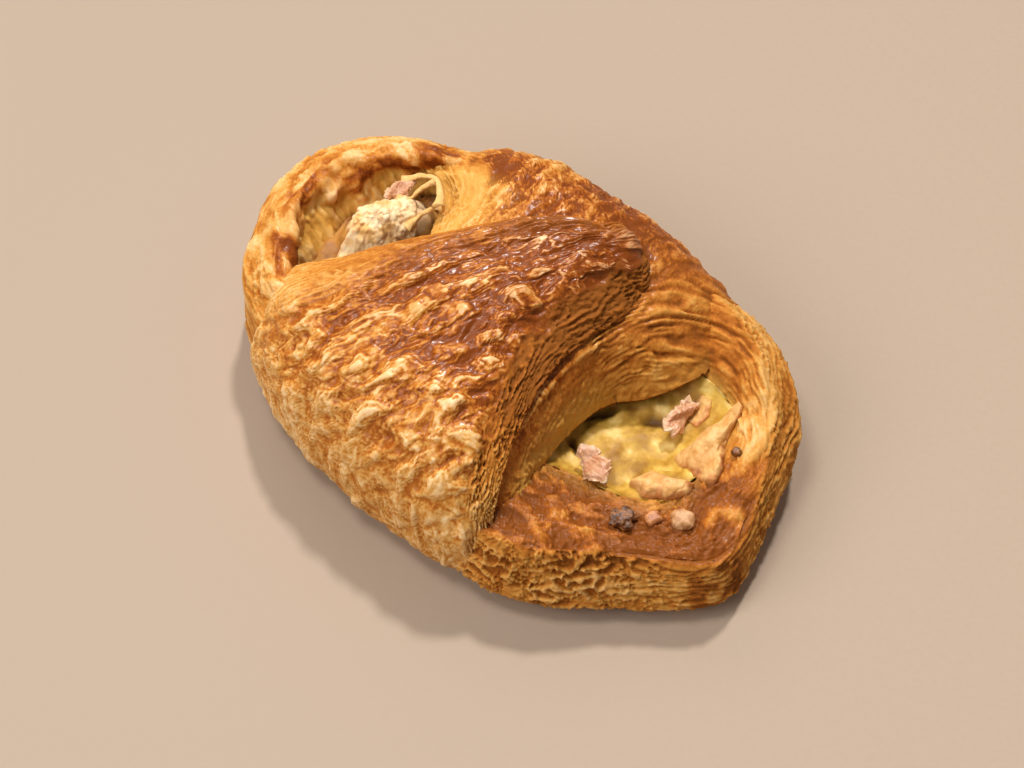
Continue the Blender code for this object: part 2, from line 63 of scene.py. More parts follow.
OUTLINE = (
    (-75, 47.7), (-60, 51.7), (-45, 55.5), (-30, 59.5), (-18, 66.0), (-5, 73.0), (5, 71.0),
    (18, 69.5), (30, 70.5), (42, 68.5), (60, 61.0), (75, 56.3), (90, 54.5), (105, 56.0),
    (120, 60.1), (135, 66.3), (150, 73.5), (165, 82.0), (174, 84.5), (183, 83.5), (195, 78.5),
    (210, 69.6), (225, 59.9), (240, 52.5), (255, 48.3), (270, 46.7),
)
UNDER_FLAP = ((0, 0), (50, 0), (66, 1), (140, 1), (155, 0), (180, 0), (200, 0), (212, 1), (292, 1), (306, 0))
UNDER_FLAP_INSET = 1.2
CREST_Z = (
    (0, 19), (20, 24), (45, 28.5), (60, 29), (90, 27), (125, 29), (145, 35), (160, 37), (180, 35.5),
    (200, 33.5), (212, 31), (240, 26), (285, 24), (300, 24.5), (320, 23), (340, 20.5),
)
CREST_IN = (
    (0, 5), (20, 7), (30, 10), (45, 12), (62, 10), (90, 9), (125, 9), (150, 13), (165, 14), (180, 12),
    (195, 12), (210, 12), (240, 9), (285, 8), (310, 7.5), (340, 9),
)
LIP_Z = (
    (0, 6), (20, 13), (45, 20), (62, 21), (90, 18), (125, 22), (145, 30), (165, 31), (180, 29),
    (203, 26), (240, 18), (285, 12), (310, 8), (340, 6),
)
LIP_IN = (
    (0, 0.8), (20, 1.2), (45, 3), (62, 3), (90, 3), (125, 5), (150, 6), (170, 5), (180, 4.2), (203, 3.2),
    (240, 3), (285, 2), (310, 1), (340, 0.8),
)
POCKET_IN = (
    (6, 20.5), (16, 17), (27, 16.5), (36, 20), (46, 26), (58, 28), (90, 16), (125, 15), (150, 21),
    (165, 22), (180, 23), (195, 20), (210, 18), (240, 14), (285, 15), (303, 25), (322, 34), (338, 34),
    (348, 30), (358, 23.5),
)
POCKET_Z = (
    (0, 18), (20, 19.5), (45, 20), (60, 20), (90, 19), (125, 20), (150, 26), (180, 24), (203, 24),
    (240, 19), (285, 18), (320, 17.5), (343, 17),
)
# Inner edge of the crest: how wide the crest is and how far it has dropped there
CREST_WIDE = 2.2
CREST_DROP = 0.8
WALL_RUN = 6.0
WALL_FOOT_Z = 11.5
FLOOR_RUN = 7.0
FLOOR_Z = 7.0

OVER = {
    "lower": ((-70, 0.0), (70, 0.0)),
    "near_in": -0.6,
    "far_in": 0.5,
    "turn": (-36.0, 136.0),
    "left": (
        (-36, -50), (-15, -58), (5, -63), (20, -66), (34, -66), (55, -59), (68, -50.5), (83, -43.5),
        (100, -35), (115, -27), (125, -21), (131, -15), (136, -7),
    ),
    "left_run": ((-36, 1), (5, 3), (20, 9), (34, 13), (55, 13), (68, 11), (83, 8), (100, 5), (136, 3)),
    "left_roll": ((-36, 3.0), (20, 3.0), (45, 1.6), (136, 1.4)),
    "left_roll_run": ((-36, 7.0), (20, 6.0), (50, 2.2), (136, 2.0)),
    "right": (
        (-36, 25), (0, 26), (20, 25), (32, 23.5), (43, 21), (55, 18.5), (66, 16.5), (79, 14.5),
        (93, 13.5), (111, 14.5), (128, 17), (136, 16.5),
    ),
    "right_roll": ((-36, 2.4), (60, 2.6), (136, 2.6)),
    "right_roll_run": ((-36, 3.2), (60, 4.0), (136, 3.6)),
    "right_run": ((-36, 3), (10, 5), (32, 7), (55, 9), (79, 11), (111, 12), (130, 11), (136, 8)),
    "left_depth": ((-36, 8), (34, 8), (68, 6), (100, 5), (136, 7)),
    "right_depth": ((-36, 9), (34, 8), (80, 7.5), (115, 9.5), (136, 10)),
    "mid_depth": ((-36, 8), (100, 8), (136, 9.5)),
}
UNDER = {
    "lower": ((-70, 0.0), (-45, 0.5), (-28, 2.0), (-5, 5.0), (10, 7.5), (40, 8.5)),
    "near_in": 9.0,
    "far_in": 0.0,
    "turn": (216.0, 10.0),
    "left": (
        (10, 13), (28, 10), (40, 4), (52, -12), (64, -26), (80, -29), (100, -35), (112, -40), (121, -43),
        (128, -47), (133, -54), (138, -60), (145, -65), (155, -67), (170, -62), (216, -46),
    ),
    "left_run": (
        (46, 3), (100, 6), (112, 9), (121, 11), (128, 14), (133, 19), (138, 23), (145, 24), (155, 20),
        (170, 9), (216, 1),
    ),
    "right": (
        (10, 26), (46, 25), (80, 24), (100, 24.5), (115, 27), (127, 32), (140, 36), (150, 38), (165, 38),
        (180, 37), (216, 30),
    ),
    "left_roll": ((46, 1.6), (92, 2.0), (108, 5.5), (124, 6.6), (134, 4.6), (155, 3.2), (216, 3.2)),
    "left_roll_run": ((46, 2.2), (92, 3.4), (108, 7.5), (124, 8.5), (155, 7.0), (216, 7.0)),
    "right_roll": ((10, 1.2), (60, 1.8), (104, 2.4), (122, 4.6), (150, 4.4), (216, 3.4)),
    "right_roll_run": ((10, 2.2), (60, 2.6), (104, 4.0), (122, 8.0), (150, 8.0), (216, 7.0)),
    "right_run": ((10, 3), (46, 9), (100, 11), (127, 13), (150, 9), (165, 4), (216, 1)),
    "left_depth": ((46, 8), (94, 8.5), (110, 11), (124, 11), (134, 8), (143, 6.5), (152, 9), (216, 8)),
    "right_depth": ((10, 6), (28, 11), (46, 17), (100, 19), (120, 18), (135, 14), (150, 9), (216, 8)),
    "mid_depth": ((10, 6), (46, 7), (120, 8), (216, 8)),
}
FLAP_TABLES = (
    "left", "right", "left_run", "right_run", "left_depth", "right_depth", "mid_depth",
    "left_roll", "right_roll", "left_roll_run", "right_roll_run",
)
# Rounded nose that ends a flap: degrees, length and rings
NOSE_TURN = 7.0
NOSE_LONG = 3.0
NOSE_ROWS = 16
# Where and with how many points a flap's arc length is measured
PROBE_X = -15.0
PROBES = 800
FACE_BULGE = 0.6
LOWEST_Z = 0.25

# Rings of a flap, then points over its top, a cut face and its underside
OVER_GRID = (286, 192, 38, 12)
UNDER_GRID = (300, 156, 42, 26)
# Each half of the base: directions where it starts, shows, is hidden again and ends; points; radius
LOW_HALF = ((-100.0, -68.0, 70.0, 100.0), 152, 62.0)
RAISED_HALF = ((100.0, 138.0, 224.0, 260.0), 158, 78.0)
FINE_STEP = 0.3
COARSE_STEP = 2.0
FILLING_ROWS = 150
SHEET_RINGS = 48
SHEET_DIRECTIONS = 260
THREAD_RINGS = 70
THREAD_SIDES = 20
HAM_GRID = (60, 34)
BIT_GRID = (44, 84)

# Filling: gap to the dough, level along the length, run over which it rises to the dough
GAP = 0.45
FILL_LEVEL = ((-70, 24), (-50, 25), (-35, 27), (-20, 29), (-6, 26), (7, 17), (14, 13.5), (35, 13), (60, 16))
FILL_EDGE_RUN = 6.0
# Lumps of cheese: place, half length, half width, heading and height
MELT_LUMPS = (
    (-50.0, 8.5, 13.5, 7.5, 60.0, 8.5),
    (48.6, 16.5, 11.5, 5.0, 98.0, 8.5),
    (44.2, 0.8, 8.0, 4.4, 42.0, 6.5),
)
# Form of the mound, and of the lumps under a sheet: share of the height, power of the oval, rounding
MOUND_FORM = (1.0, 2.1, 0.85)
LUMP_FORM = (0.45, 2.6, 0.6)
# Place, length, width, thickness, heading, tilt and curl
HAM_PIECES = {
    "ham_flake": (29.8, -6.4, 10.4, 6.4, 1.4, -25.0, 20.0, 1.0),
    "ham_slice": (36.0, 18.2, 10.5, 5.0, 1.4, 97.0, 38.0, 1.0),
    "ham_strip": (-53.5, 16.5, 8.0, 4.0, 1.6, 70.0, 10.0, 1.5),
}
HAM_LIFT = 0.15
# Place, size and heading
RIM_BITS = (
    (44.3, -13.8, 5.6, 20.0),
    (49.5, -8.8, 4.2, 65.0),
    (55.0, -4.6, 5.6, 35.0),
    (54.2, 16.8, 3.2, 10.0),
)
RIM_BIT_LIFT = 1.1
# Share of the size, height, depth and size of the roughness
RIM_BIT_LOOKS = ((1.1, 2.6, 0.24, 0.8), (1.0, 2.2, 0.12, 1.2), (1.0, 3.2, 0.13, 1.5), (0.75, 2.0, 0.1, 1.2))
RIM_BIT_COLOURS = ("burnt_bit_look", "brown_bit_look", "pale_bit_look", "burnt_bit_look")
BIT_COLOURS = {
    "burnt_bit_look": ((66, 32, 12), (150, 92, 40)),
    "pale_bit_look": ((170, 112, 62), (208, 158, 108)),
    "brown_bit_look": ((150, 80, 40), (206, 140, 80)),
}
# Swelling and blisters of the baked skin
PUFF = 0.55
PUFF_SIZE = 13.0
BLISTER = 0.4
BLISTER_WIDE = 5.5
BLISTER_LONG = 12.0
SEED = 11

# Melted cheese lying over the filling: outline, thickness, width of the rounded edge, roughness
MELT_SHEETS = {
    "cheese_tongue": (
        ((45.2, 29.2), (44.6, 22.1), (42.9, 15.8), (41.0, 9.7), (43.7, 8.2), (46.9, 8.2), (50.4, 6.7),
         (52.8, 6.6), (55.2, 8.0), (54.6, 11.4), (49.6, 18.6), (47.8, 27.6)), 2.6, 3.2, 0.5,
    ),
    "cheese_finger": (
        ((38.0, -3.4), (40.4, 2.2), (44.5, 3.1), (48.6, 4.4), (51.0, 5.2), (51.8, 2.2), (48.6, -2.2),
         (43.5, -5.2)), 2.6, 3.0, 0.45,
    ),
    "cheese_pool": (
        ((35.0, 23.0), (36.0, 27.0), (39.4, 26.8), (41.4, 23.2), (40.4, 19.6), (36.6, 20.0)), 1.3, 3.4, 0.4,
    ),
    "cheese_mound": (
        ((-52.5, -8.5), (-55.6, -4.3), (-54.9, -0.3), (-57.8, 5.3), (-59.5, 9.9), (-57.9, 13.6),
         (-52.2, 15.8), (-46.5, 15.6), (-43.0, 11.0), (-44.0, 3.0), (-47.0, -5.8)), 2.4, 4.5, 1.6,
    ),
}
# Hollows in the filling, painted dark as shade: place, half length, half width, heading, depth
HOLLOWS = (
    (19.4, 8.6, 4.4, 1.1, 52.0, 3.0),
    (31.2, 15.6, 3.2, 1.9, 20.0, 2.2),
    (20.6, -3.0, 3.0, 0.8, -30.0, 2.4),
)
# Browned spot on the sauce: place and reach
BROWN_PATCH = (27.0, 1.5, 4.0)
# Threads of soft dough between the raised rim and the flap: points and thickness
THREADS = (
    (((-54.6, 19.0, 32.0), (-51.2, 21.7, 34.0), (-47.3, 22.6, 36.0), (-43.1, 20.1, 37.0),
      (-39.8, 16.0, 37.0)), 0.8),
    (((-51.5, 14.1, 32.0), (-48.4, 15.2, 34.0), (-47.4, 18.7, 35.6), (-46.1, 21.6, 36.4)), 0.7),
    (((-44.2, 8.8, 32.0), (-43.0, 12.8, 34.0), (-41.0, 15.6, 36.0), (-39.0, 16.8, 36.8)), 0.8),
)

# Fine relief, millimetres
SKIN_WIDE = 2.7
SKIN_LONG = 7.0
SKIN_DEEP = 0.85
# Steps and softness of the skin's plates
WIDE_PLATES = (2.6, 0.22)
SMALL_PLATES = (2.0, 0.22)
LAYER_STEP = 1.5
LAYER_DEEP = 0.5
# Middle of the layers that run round the low pocket
SWEEP_X = 33.0
SWEEP_Y = 6.0
SWEEP_SEED = 243
HASH_FACTORS = (374761393, 668265263, 1274126177)


def unit(x):
    """Values with what lies below 0 or above 1 cut off."""
    return np.clip(x, 0, 1)


def table(x, stations, period=None):
    """Smooth curve through the stations without overshoot, clamped at its ends or closed."""
    xs = np.array([s[0] for s in stations], float)
    ys = np.array([s[1] for s in stations], float)
    x = np.asarray(x, float)
    if period:
        x = np.mod(x - xs[0], period) + xs[0]
        xs = np.concatenate(([xs[-1] - period], xs, [xs[0] + period, xs[1] + period]))
        ys = np.concatenate(([ys[-1]], ys, [ys[0], ys[1]]))
    rise = np.diff(ys) / np.diff(xs)
    pair = rise[:-1] * rise[1:]
    inner = np.where(pair > 0, 2 * pair / np.where(pair > 0, rise[:-1] + rise[1:], 1.0), 0.0)
    slope = np.concatenate(([rise[0]], inner, [rise[-1]]))
    i = np.clip(np.searchsorted(xs, x, side="right") - 1, 0, len(xs) - 2)
    h = xs[i + 1] - xs[i]
    t = np.clip((x - xs[i]) / h, 0, 1)
    a = (2 * t**3 - 3 * t**2 + 1) * ys[i] + (t**3 - 2 * t**2 + t) * h * slope[i]
    b = (3 * t**2 - 2 * t**3) * ys[i + 1] + (t**3 - t**2) * h * slope[i + 1]
    return a + b


def smooth(x, lo, hi):
    """0 up to lo, 1 from hi, and a soft step between them."""
    t = unit((np.asarray(x, float) - lo) / (hi - lo))
    return t * t * (3 - 2 * t)


def band(x, lo, hi, fade):
    """1 between lo and hi, fading to 0 over fade on each side."""
    return smooth(x, lo - fade, lo) * (1 - smooth(x, hi, hi + fade))


def lattice(i, seed):
    """Random number between -1 and 1 for each point of a grid of whole numbers."""
    h = seed * 974634777 + sum(i[..., axis] * HASH_FACTORS[axis] for axis in range(i.shape[-1]))
    h = h & 0xFFFFFFFF
    h = ((h ^ (h >> 13)) * 1103515245) & 0xFFFFFFFF
    h = ((h ^ (h >> 16)) * 2246822519) & 0xFFFFFFFF
    return (h ^ (h >> 15)) / 2147483647.5 - 1.0


def noise(p, size, seed):
    """Smooth random field between -1 and 1 on two or three axes; size is one number or one for each."""
    q = np.asarray(p, float) / np.asarray(size, float)
    i = np.floor(q).astype(np.int64)
    f = q - i
    f = f * f * f * (f * (f * 6 - 15) + 10)
    out = 0
    for corner in np.ndindex((2,) * q.shape[-1]):
        w = 1.0
        for axis, step in enumerate(corner):
            w = w * (f[..., axis] if step else 1 - f[..., axis])
        out = out + w * lattice(i + np.array(corner), seed)
    return out


def flat_noise(u, v, wide, long, seed):
    """Smooth random field of two coordinates."""
    return noise(np.stack([u, v], -1), (wide, long), seed)


def cells(u, v, wide, long, seed):
    """Random cells: how far the next centre is beyond the nearest one, 0 on the line between them."""
    q = np.stack([u / wide, v / long], -1)
    i = np.floor(q).astype(np.int64)
    first = second = np.full(u.shape, 9.0)
    for step in np.ndindex(3, 3):
        cell = i + np.array(step) - 1
        x, y = (q[..., k] - (cell[..., k] + 0.5 + 0.42 * lattice(cell, seed + 31 * k)) for k in (0, 1))
        d = np.hypot(x, y)
        second = np.minimum(second, np.maximum(first, d))
        first = np.minimum(first, d)
    return second - first


def heading(deg):
    """Cosine and sine of a direction in degrees."""
    return math.cos(math.radians(deg)), math.sin(math.radians(deg))


def around(deg, *tables):
    """Each closed table's value at a direction round the middle."""
    return [table(deg, stations, 360) for stations in tables]


def outline_radius(deg):
    return table(deg, OUTLINE, 360)


def side_curve(sign):
    deg = np.linspace(0.0, 180.0, 721) * sign
    r = outline_radius(deg)
    x = r * np.cos(np.radians(deg))
    y = np.abs(r * np.sin(np.radians(deg)))
    order = np.argsort(x)
    return x[order], y[order]


FAR_SIDE = side_curve(1.0)
NEAR_SIDE = side_curve(-1.0)


def half_width(x, far):
    return np.maximum(np.where(far, np.interp(x, *FAR_SIDE), np.interp(x, *NEAR_SIDE)), 3.0)


def ridge(x):
    drop = np.where(x < RIDGE_X, RIDGE_DROP_A, RIDGE_DROP_C)
    return TOP_Z - drop * (np.abs(x - RIDGE_X) / RIDGE_RUN) ** 2.2


def arch(x, turn, spec):
    """Point of a flap's skin: x along the length, turn in degrees from the near bulge over the top."""
    c = np.cos(np.radians(turn))
    s = np.sin(np.radians(turn))
    far = c < 0
    w = half_width(x, far) - np.where(far, spec["far_in"], spec["near_in"])
    h = np.where(s >= 0, ridge(x) - BULGE_Z - table(x, spec["lower"]), TUCK)
    n = np.where(far, SHOULDER_FAR, SHOULDER_NEAR)
    r = ((np.abs(c) / w) ** n + (np.abs(s) / h) ** n) ** (-1 / n)
    return np.stack([x + 0 * r, -r * c, BULGE_Z + r * s], -1)


def arch_normal(x, turn, spec):
    step = 0.5
    along = arch(x + step, turn, spec) - arch(x - step, turn, spec)
    round_fold = arch(x, turn + step, spec) - arch(x, turn - step, spec)
    n = np.cross(round_fold, along)
    n /= np.maximum(np.linalg.norm(n, axis=-1, keepdims=True), 1e-9)
    p = arch(x, turn, spec)
    away = np.stack([0 * p[..., 0], p[..., 1], p[..., 2] - BULGE_Z], -1)
    side = np.sum(n * away, -1, keepdims=True)
    return n * np.where(side < 0, -1.0, 1.0)


def puff(p):
    return PUFF * noise(p, PUFF_SIZE, SEED) + 0.45 * PUFF * noise(p, 0.5 * PUFF_SIZE, SEED + 1)


def blister(x, turn):
    round_mm = turn * 0.62
    q = np.stack([x, round_mm, 0 * x], -1)
    return BLISTER * noise(q, (BLISTER_WIDE, BLISTER_LONG, 10.0), SEED + 7)


# Meshes


def grid_normals(p):
    """Outward normals of a grid of points that is closed the second way round."""
    n = np.cross(np.gradient(p, axis=0), np.roll(p, -1, 1) - np.roll(p, 1, 1))
    n /= np.maximum(np.linalg.norm(n, axis=-1, keepdims=True), 1e-9)
    away = p - p.mean(axis=1, keepdims=True)
    return n if np.sum(n * away) > 0 else -n


def add_object(name, data):
    obj = bpy.data.objects.new(name, data)
    bpy.context.scene.collection.objects.link(obj)
    return obj


def grid_mesh(name, p, layers, material):
    """Closed mesh from rings p[row, k] with float attributes; the end rings are closed with fans."""
    rows, n = p.shape[:2]
    ends = np.stack([p[0].mean(0), p[-1].mean(0)])
    co = np.concatenate([p.reshape(-1, 3), ends]) + SHIFT
    k = np.arange(n)
    after = (k + 1) % n
    row = np.arange(rows - 1)[:, None] * n
    a, b = (row + k).ravel(), (row + after).ravel()
    quads = np.stack([a, b, b + n, a + n], -1)
    last = (rows - 1) * n
    first_fan = np.stack([k, np.full(n, rows * n), after], -1)
    last_fan = np.stack([last + after, np.full(n, rows * n + 1), last + k], -1)
    loops = np.concatenate([quads.ravel(), first_fan.ravel(), last_fan.ravel()])
    sizes = np.concatenate([np.full(len(quads), 4), np.full(2 * n, 3)])
    starts = np.concatenate([[0], np.cumsum(sizes)[:-1]])
    corner = co[quads]
    volume = sum(np.sum(corner[:, 0] * np.cross(corner[:, k], corner[:, k + 1])) for k in (1, 2))
    mesh = bpy.data.meshes.new(name)
    mesh.vertices.add(len(co))
    mesh.vertices.foreach_set("co", (co * MM).astype(np.float32).ravel())
    mesh.loops.add(len(loops))
    mesh.loops.foreach_set("vertex_index", loops.astype(np.int32))
    mesh.polygons.add(len(sizes))
    mesh.polygons.foreach_set("loop_start", starts.astype(np.int32))
    mesh.polygons.foreach_set("use_smooth", np.ones(len(sizes), bool))
    mesh.update(calc_edges=True)
    if volume < 0:
        mesh.flip_normals()
    for key, value in layers.items():
        ends = [value[0].mean(), value[-1].mean()]
        store = mesh.attributes.new(key, "FLOAT", "POINT")
        store.data.foreach_set("value", np.concatenate([value.ravel(), ends]).astype(np.float32))
    mesh.validate()
    mesh.materials.append(material)
    return add_object(name, mesh)


def as_layer(height):
    """Relief as an attribute between 0 and 1, with 0.5 for none."""
    return unit(0.5 + 0.5 * height)


def soften(a, times):
    """Rounds off corners along the second axis, keeping both ends."""
    for _ in range(times):
        a = np.concatenate([a[:, :1], 0.25 * a[:, :-2] + 0.5 * a[:, 1:-1] + 0.25 * a[:, 2:], a[:, -1:]], 1)
    return a


# Relief fields: each gives a height between about -1 and 1


def terrace(value, steps, blend):
    """Turns a field into flat plates with steep edges between them."""
    t = value * steps
    base = np.floor(t)
    return (base + smooth(t - base, 0.5 - blend, 0.5 + blend)) / steps


def plate_edges(value, steps, blend):
    """Painted light on the lips at the upper side of the plates' edges, less painted shade at their feet."""
    t = value * steps
    t = t - np.floor(t) - 0.5
    return np.exp(-((t - blend) / 0.1) ** 2) - np.exp(-((t + blend) / 0.12) ** 2)


def skin_field(u, v, seed):
    """Blistered skin: plates and winding streaks with narrow cracks, and where their edges are."""
    wu = u + 1.2 * flat_noise(u, v, 4.0, 4.5, seed) + 0.5 * flat_noise(u, v, 1.6, 2.0, seed + 1)
    wv = v + 2.0 * flat_noise(u, v, 4.5, 5.0, seed + 2)
    wide = flat_noise(wu, wv, 1.15 * SKIN_WIDE, 0.9 * SKIN_LONG, seed + 3)
    small = flat_noise(wu, wv, 0.62 * SKIN_WIDE, 0.42 * SKIN_LONG, seed + 4)
    line = flat_noise(wu, wv, 1.5 * SKIN_WIDE, 1.1 * SKIN_LONG, seed + 5)
    crack = np.exp(-(line / 0.1) ** 2)
    grain = flat_noise(u, v, 0.8, 1.0, seed + 6)
    height = 1.15 * terrace(wide, *WIDE_PLATES) + 0.36 * terrace(small, *SMALL_PLATES)
    # The edges field drives colour: painted light on the plates' lips, painted shade at their feet and in the
    # cracks.
    edges = 0.8 * plate_edges(wide, *WIDE_PLATES) + 0.5 * plate_edges(small, *SMALL_PLATES)
    return height - 0.35 * crack + 0.12 * grain, edges - 0.5 * crack + 0.2 * grain


def skin_relief(u, v, seed):
    return skin_field(u, v, seed)[0]


def layer_relief(along, across, step, seed):
    """Edges of thin layers: long lines that part, close, break and fade."""
    warp = 1.3 * flat_noise(along, across, 13.0, 6.0, seed)
    warp = warp + 0.5 * flat_noise(along, across, 4.0, 3.0, seed + 1)
    phase = across / step + warp
    tooth = np.abs(2 * (phase - np.floor(phase)) - 1)
    line = 1 - 2 * tooth**1.4
    strong = np.clip(0.5 + 0.9 * flat_noise(along, across, 6.0, 2.0, seed + 2), 0.05, 1)
    torn = flat_noise(along, across, 1.4, 0.9, seed + 3)
    return line * strong + 0.35 * torn


def pore_relief(along, across, wide, long, seed):
    """Open cells with thin ragged walls between them: 1 on a wall, down to -1 in a pit."""
    wu = along + 0.5 * wide * flat_noise(along, across, 0.8 * wide, 0.8 * long, seed + 4)
    wv = across + 0.5 * long * flat_noise(along, across, 0.8 * wide, 0.8 * long, seed + 5)
    wall = 1 - smooth(cells(wu, wv, wide, long, seed), 0.04, 0.34)
    closed = smooth(flat_noise(along, across, 1.6 * wide, 1.6 * long, seed + 6), 0.0, 0.35)
    torn = flat_noise(along, across, 0.8, 0.6, seed + 7)
    return (2 * wall - 1) * (1 - closed) + 0.3 * closed + 0.3 * torn


def torn_relief(along, across, seed):
    """Cut edge of the dough: broken layers, small pores and fibres of several sizes."""
    coarse = pore_relief(along, across, 3.6, 1.9, seed)
    fine = pore_relief(along, across, 1.6, 0.95, seed + 20)
    lines = layer_relief(along, across, 1.7, seed + 40)
    where = smooth(flat_noise(along, across, 7.0, 4.0, seed + 60), -0.3, 0.3)
    return 0.55 * coarse * where + 0.25 * fine + 0.55 * lines * (1.2 - 0.7 * where)


def pocket_sweep(p):
    """Layers that run round the pocket of the low end, the same on every piece they cross."""
    u, v = p[..., 0] - SWEEP_X, p[..., 1] - SWEEP_Y
    angle = np.arctan2(v, u)
    along = 26.0 * angle
    across = np.hypot(u, 0.85 * v) + 2.6 * angle + 0.5 * p[..., 2]
    wide = layer_relief(along, across, 3.1, SWEEP_SEED)
    thin = layer_relief(along, across, 1.35, SWEEP_SEED + 9)
    broken = flat_noise(along, across, 5.0, 2.2, SWEEP_SEED + 17)
    return 0.75 * wide + 0.4 * thin + 0.35 * broken


def sweep_bake(p):
    """How brown the layers round the low pocket are."""
    return 0.64 - 0.4 * smooth(p[..., 0], 44, 56) + 0.12 * noise(p, 12.0, 353) + 0.06 * noise(p, 4.0, 355)


# Flaps


def flap_turns(spec, rows):
    """Turn, size and arc length of a flap's rings: evenly spaced, with a rounded nose at the end."""
    start, end = spec["turn"]
    probe = np.linspace(start, end, PROBES)
    middle = arch(np.full(PROBES, PROBE_X), probe, spec)
    run = np.concatenate([[0], np.cumsum(np.linalg.norm(np.diff(middle, axis=0), axis=1))])
    even = np.linspace(0, run[-1], rows)
    a = 0.5 * math.pi * np.arange(1, NOSE_ROWS + 1) / (NOSE_ROWS + 1.5)
    nose = math.copysign(NOSE_TURN, end - start) * np.sin(a)
    turns = np.concatenate([np.interp(even, run, probe), end + nose])
    size = np.concatenate([np.ones(rows), np.cos(a)])
    arc = np.concatenate([even, run[-1] + NOSE_LONG * np.sin(a)])
    return turns[:, None], size[:, None], arc[:, None]


def flap_grid(spec, grid):
    """Rings round a flap: top, right face, underside and left face; points, and where each one is."""
    rows, n_top, n_face, n_under = grid
    turns, size, arc = flap_turns(spec, rows)
    t = np.clip(turns, min(spec["turn"]), max(spec["turn"]))
    left, right, in_l, in_r, dl, dr, dm, roll_l, roll_r, run_l, run_r = (
        table(t, spec[key]) for key in FLAP_TABLES
    )
    a0, a1 = left + in_l, right - in_r
    top = np.linspace(0, 1, n_top)[None, :]
    face = np.linspace(0, 1, n_face + 2)[1:-1][None, :]
    under = np.linspace(0, 1, n_under)[None, :]
    tx = a0 + (a1 - a0) * top
    td = roll_l * np.exp(-(tx - a0) / run_l) + roll_r * np.exp(-(a1 - tx) / run_r)
    rx = a1 + (right - a1) * face + FACE_BULGE * np.sin(math.pi * face)
    rd = roll_r + (dr - roll_r) * face
    ux = right + (left - right) * under
    ud = dr + (dl - dr) * under + (dm - 0.5 * (dl + dr)) * np.sin(math.pi * under) ** 2
    lx = left + (a0 - left) * face - FACE_BULGE * np.sin(math.pi * face)
    ld = dl + (roll_l - dl) * face
    x = np.concatenate([tx, rx, ux, lx], 1)
    d = np.concatenate([td, rd, ud, ld], 1)
    mid_x, mid_d = x.mean(1, keepdims=True), 0.28 * (dl + dr)
    x = mid_x + (x - mid_x) * size
    d = mid_d + (d - mid_d) * size
    turn = turns + 0 * x
    shown = np.exp(-np.maximum(d, 0) / 5.0)
    q = arch(x, turn, spec)
    p = q - arch_normal(x, turn, spec) * (d - shown * (puff(q) + blister(x, turn)))[..., None]
    p[..., 2] = np.maximum(p[..., 2], 0.3)

    def zones(*values):
        return np.concatenate([value + 0 * part for value, part in zip(values, (tx, rx, ux, lx))], 1)

    width = a1 - a0
    return p, {
        "x": x, "turn": turn, "arc": arc + 0 * x,
        "right": zones(0, face, 0, 0), "left": zones(0, 0, 0, 1 - face), "under": zones(0, 0, 1, 0),
        "from_left": zones(width * top, width, 0, 0), "from_right": zones(width * (1 - top), 0, 0, width),
    }


def flap_cuts(at, ragged, wide_r, wide_l):
    """Masks of a flap's right and left cut faces with ragged edges, and of the skin between them."""
    cut_r = smooth(at["right"] + ragged * (at["right"] > 0), 0.02, wide_r)
    cut_l = smooth(at["left"] + ragged * (at["left"] > 0), 0.02, wide_l)
    return cut_r, cut_l, (1 - cut_r) * (1 - cut_l) * (1 - at["under"])


def raised(p, height):
    """Points of a flap moved out by its relief, kept just above the floor."""
    p = p + grid_normals(p) * height[..., None]
    p[..., 2] = np.maximum(p[..., 2], LOWEST_Z)
    return p


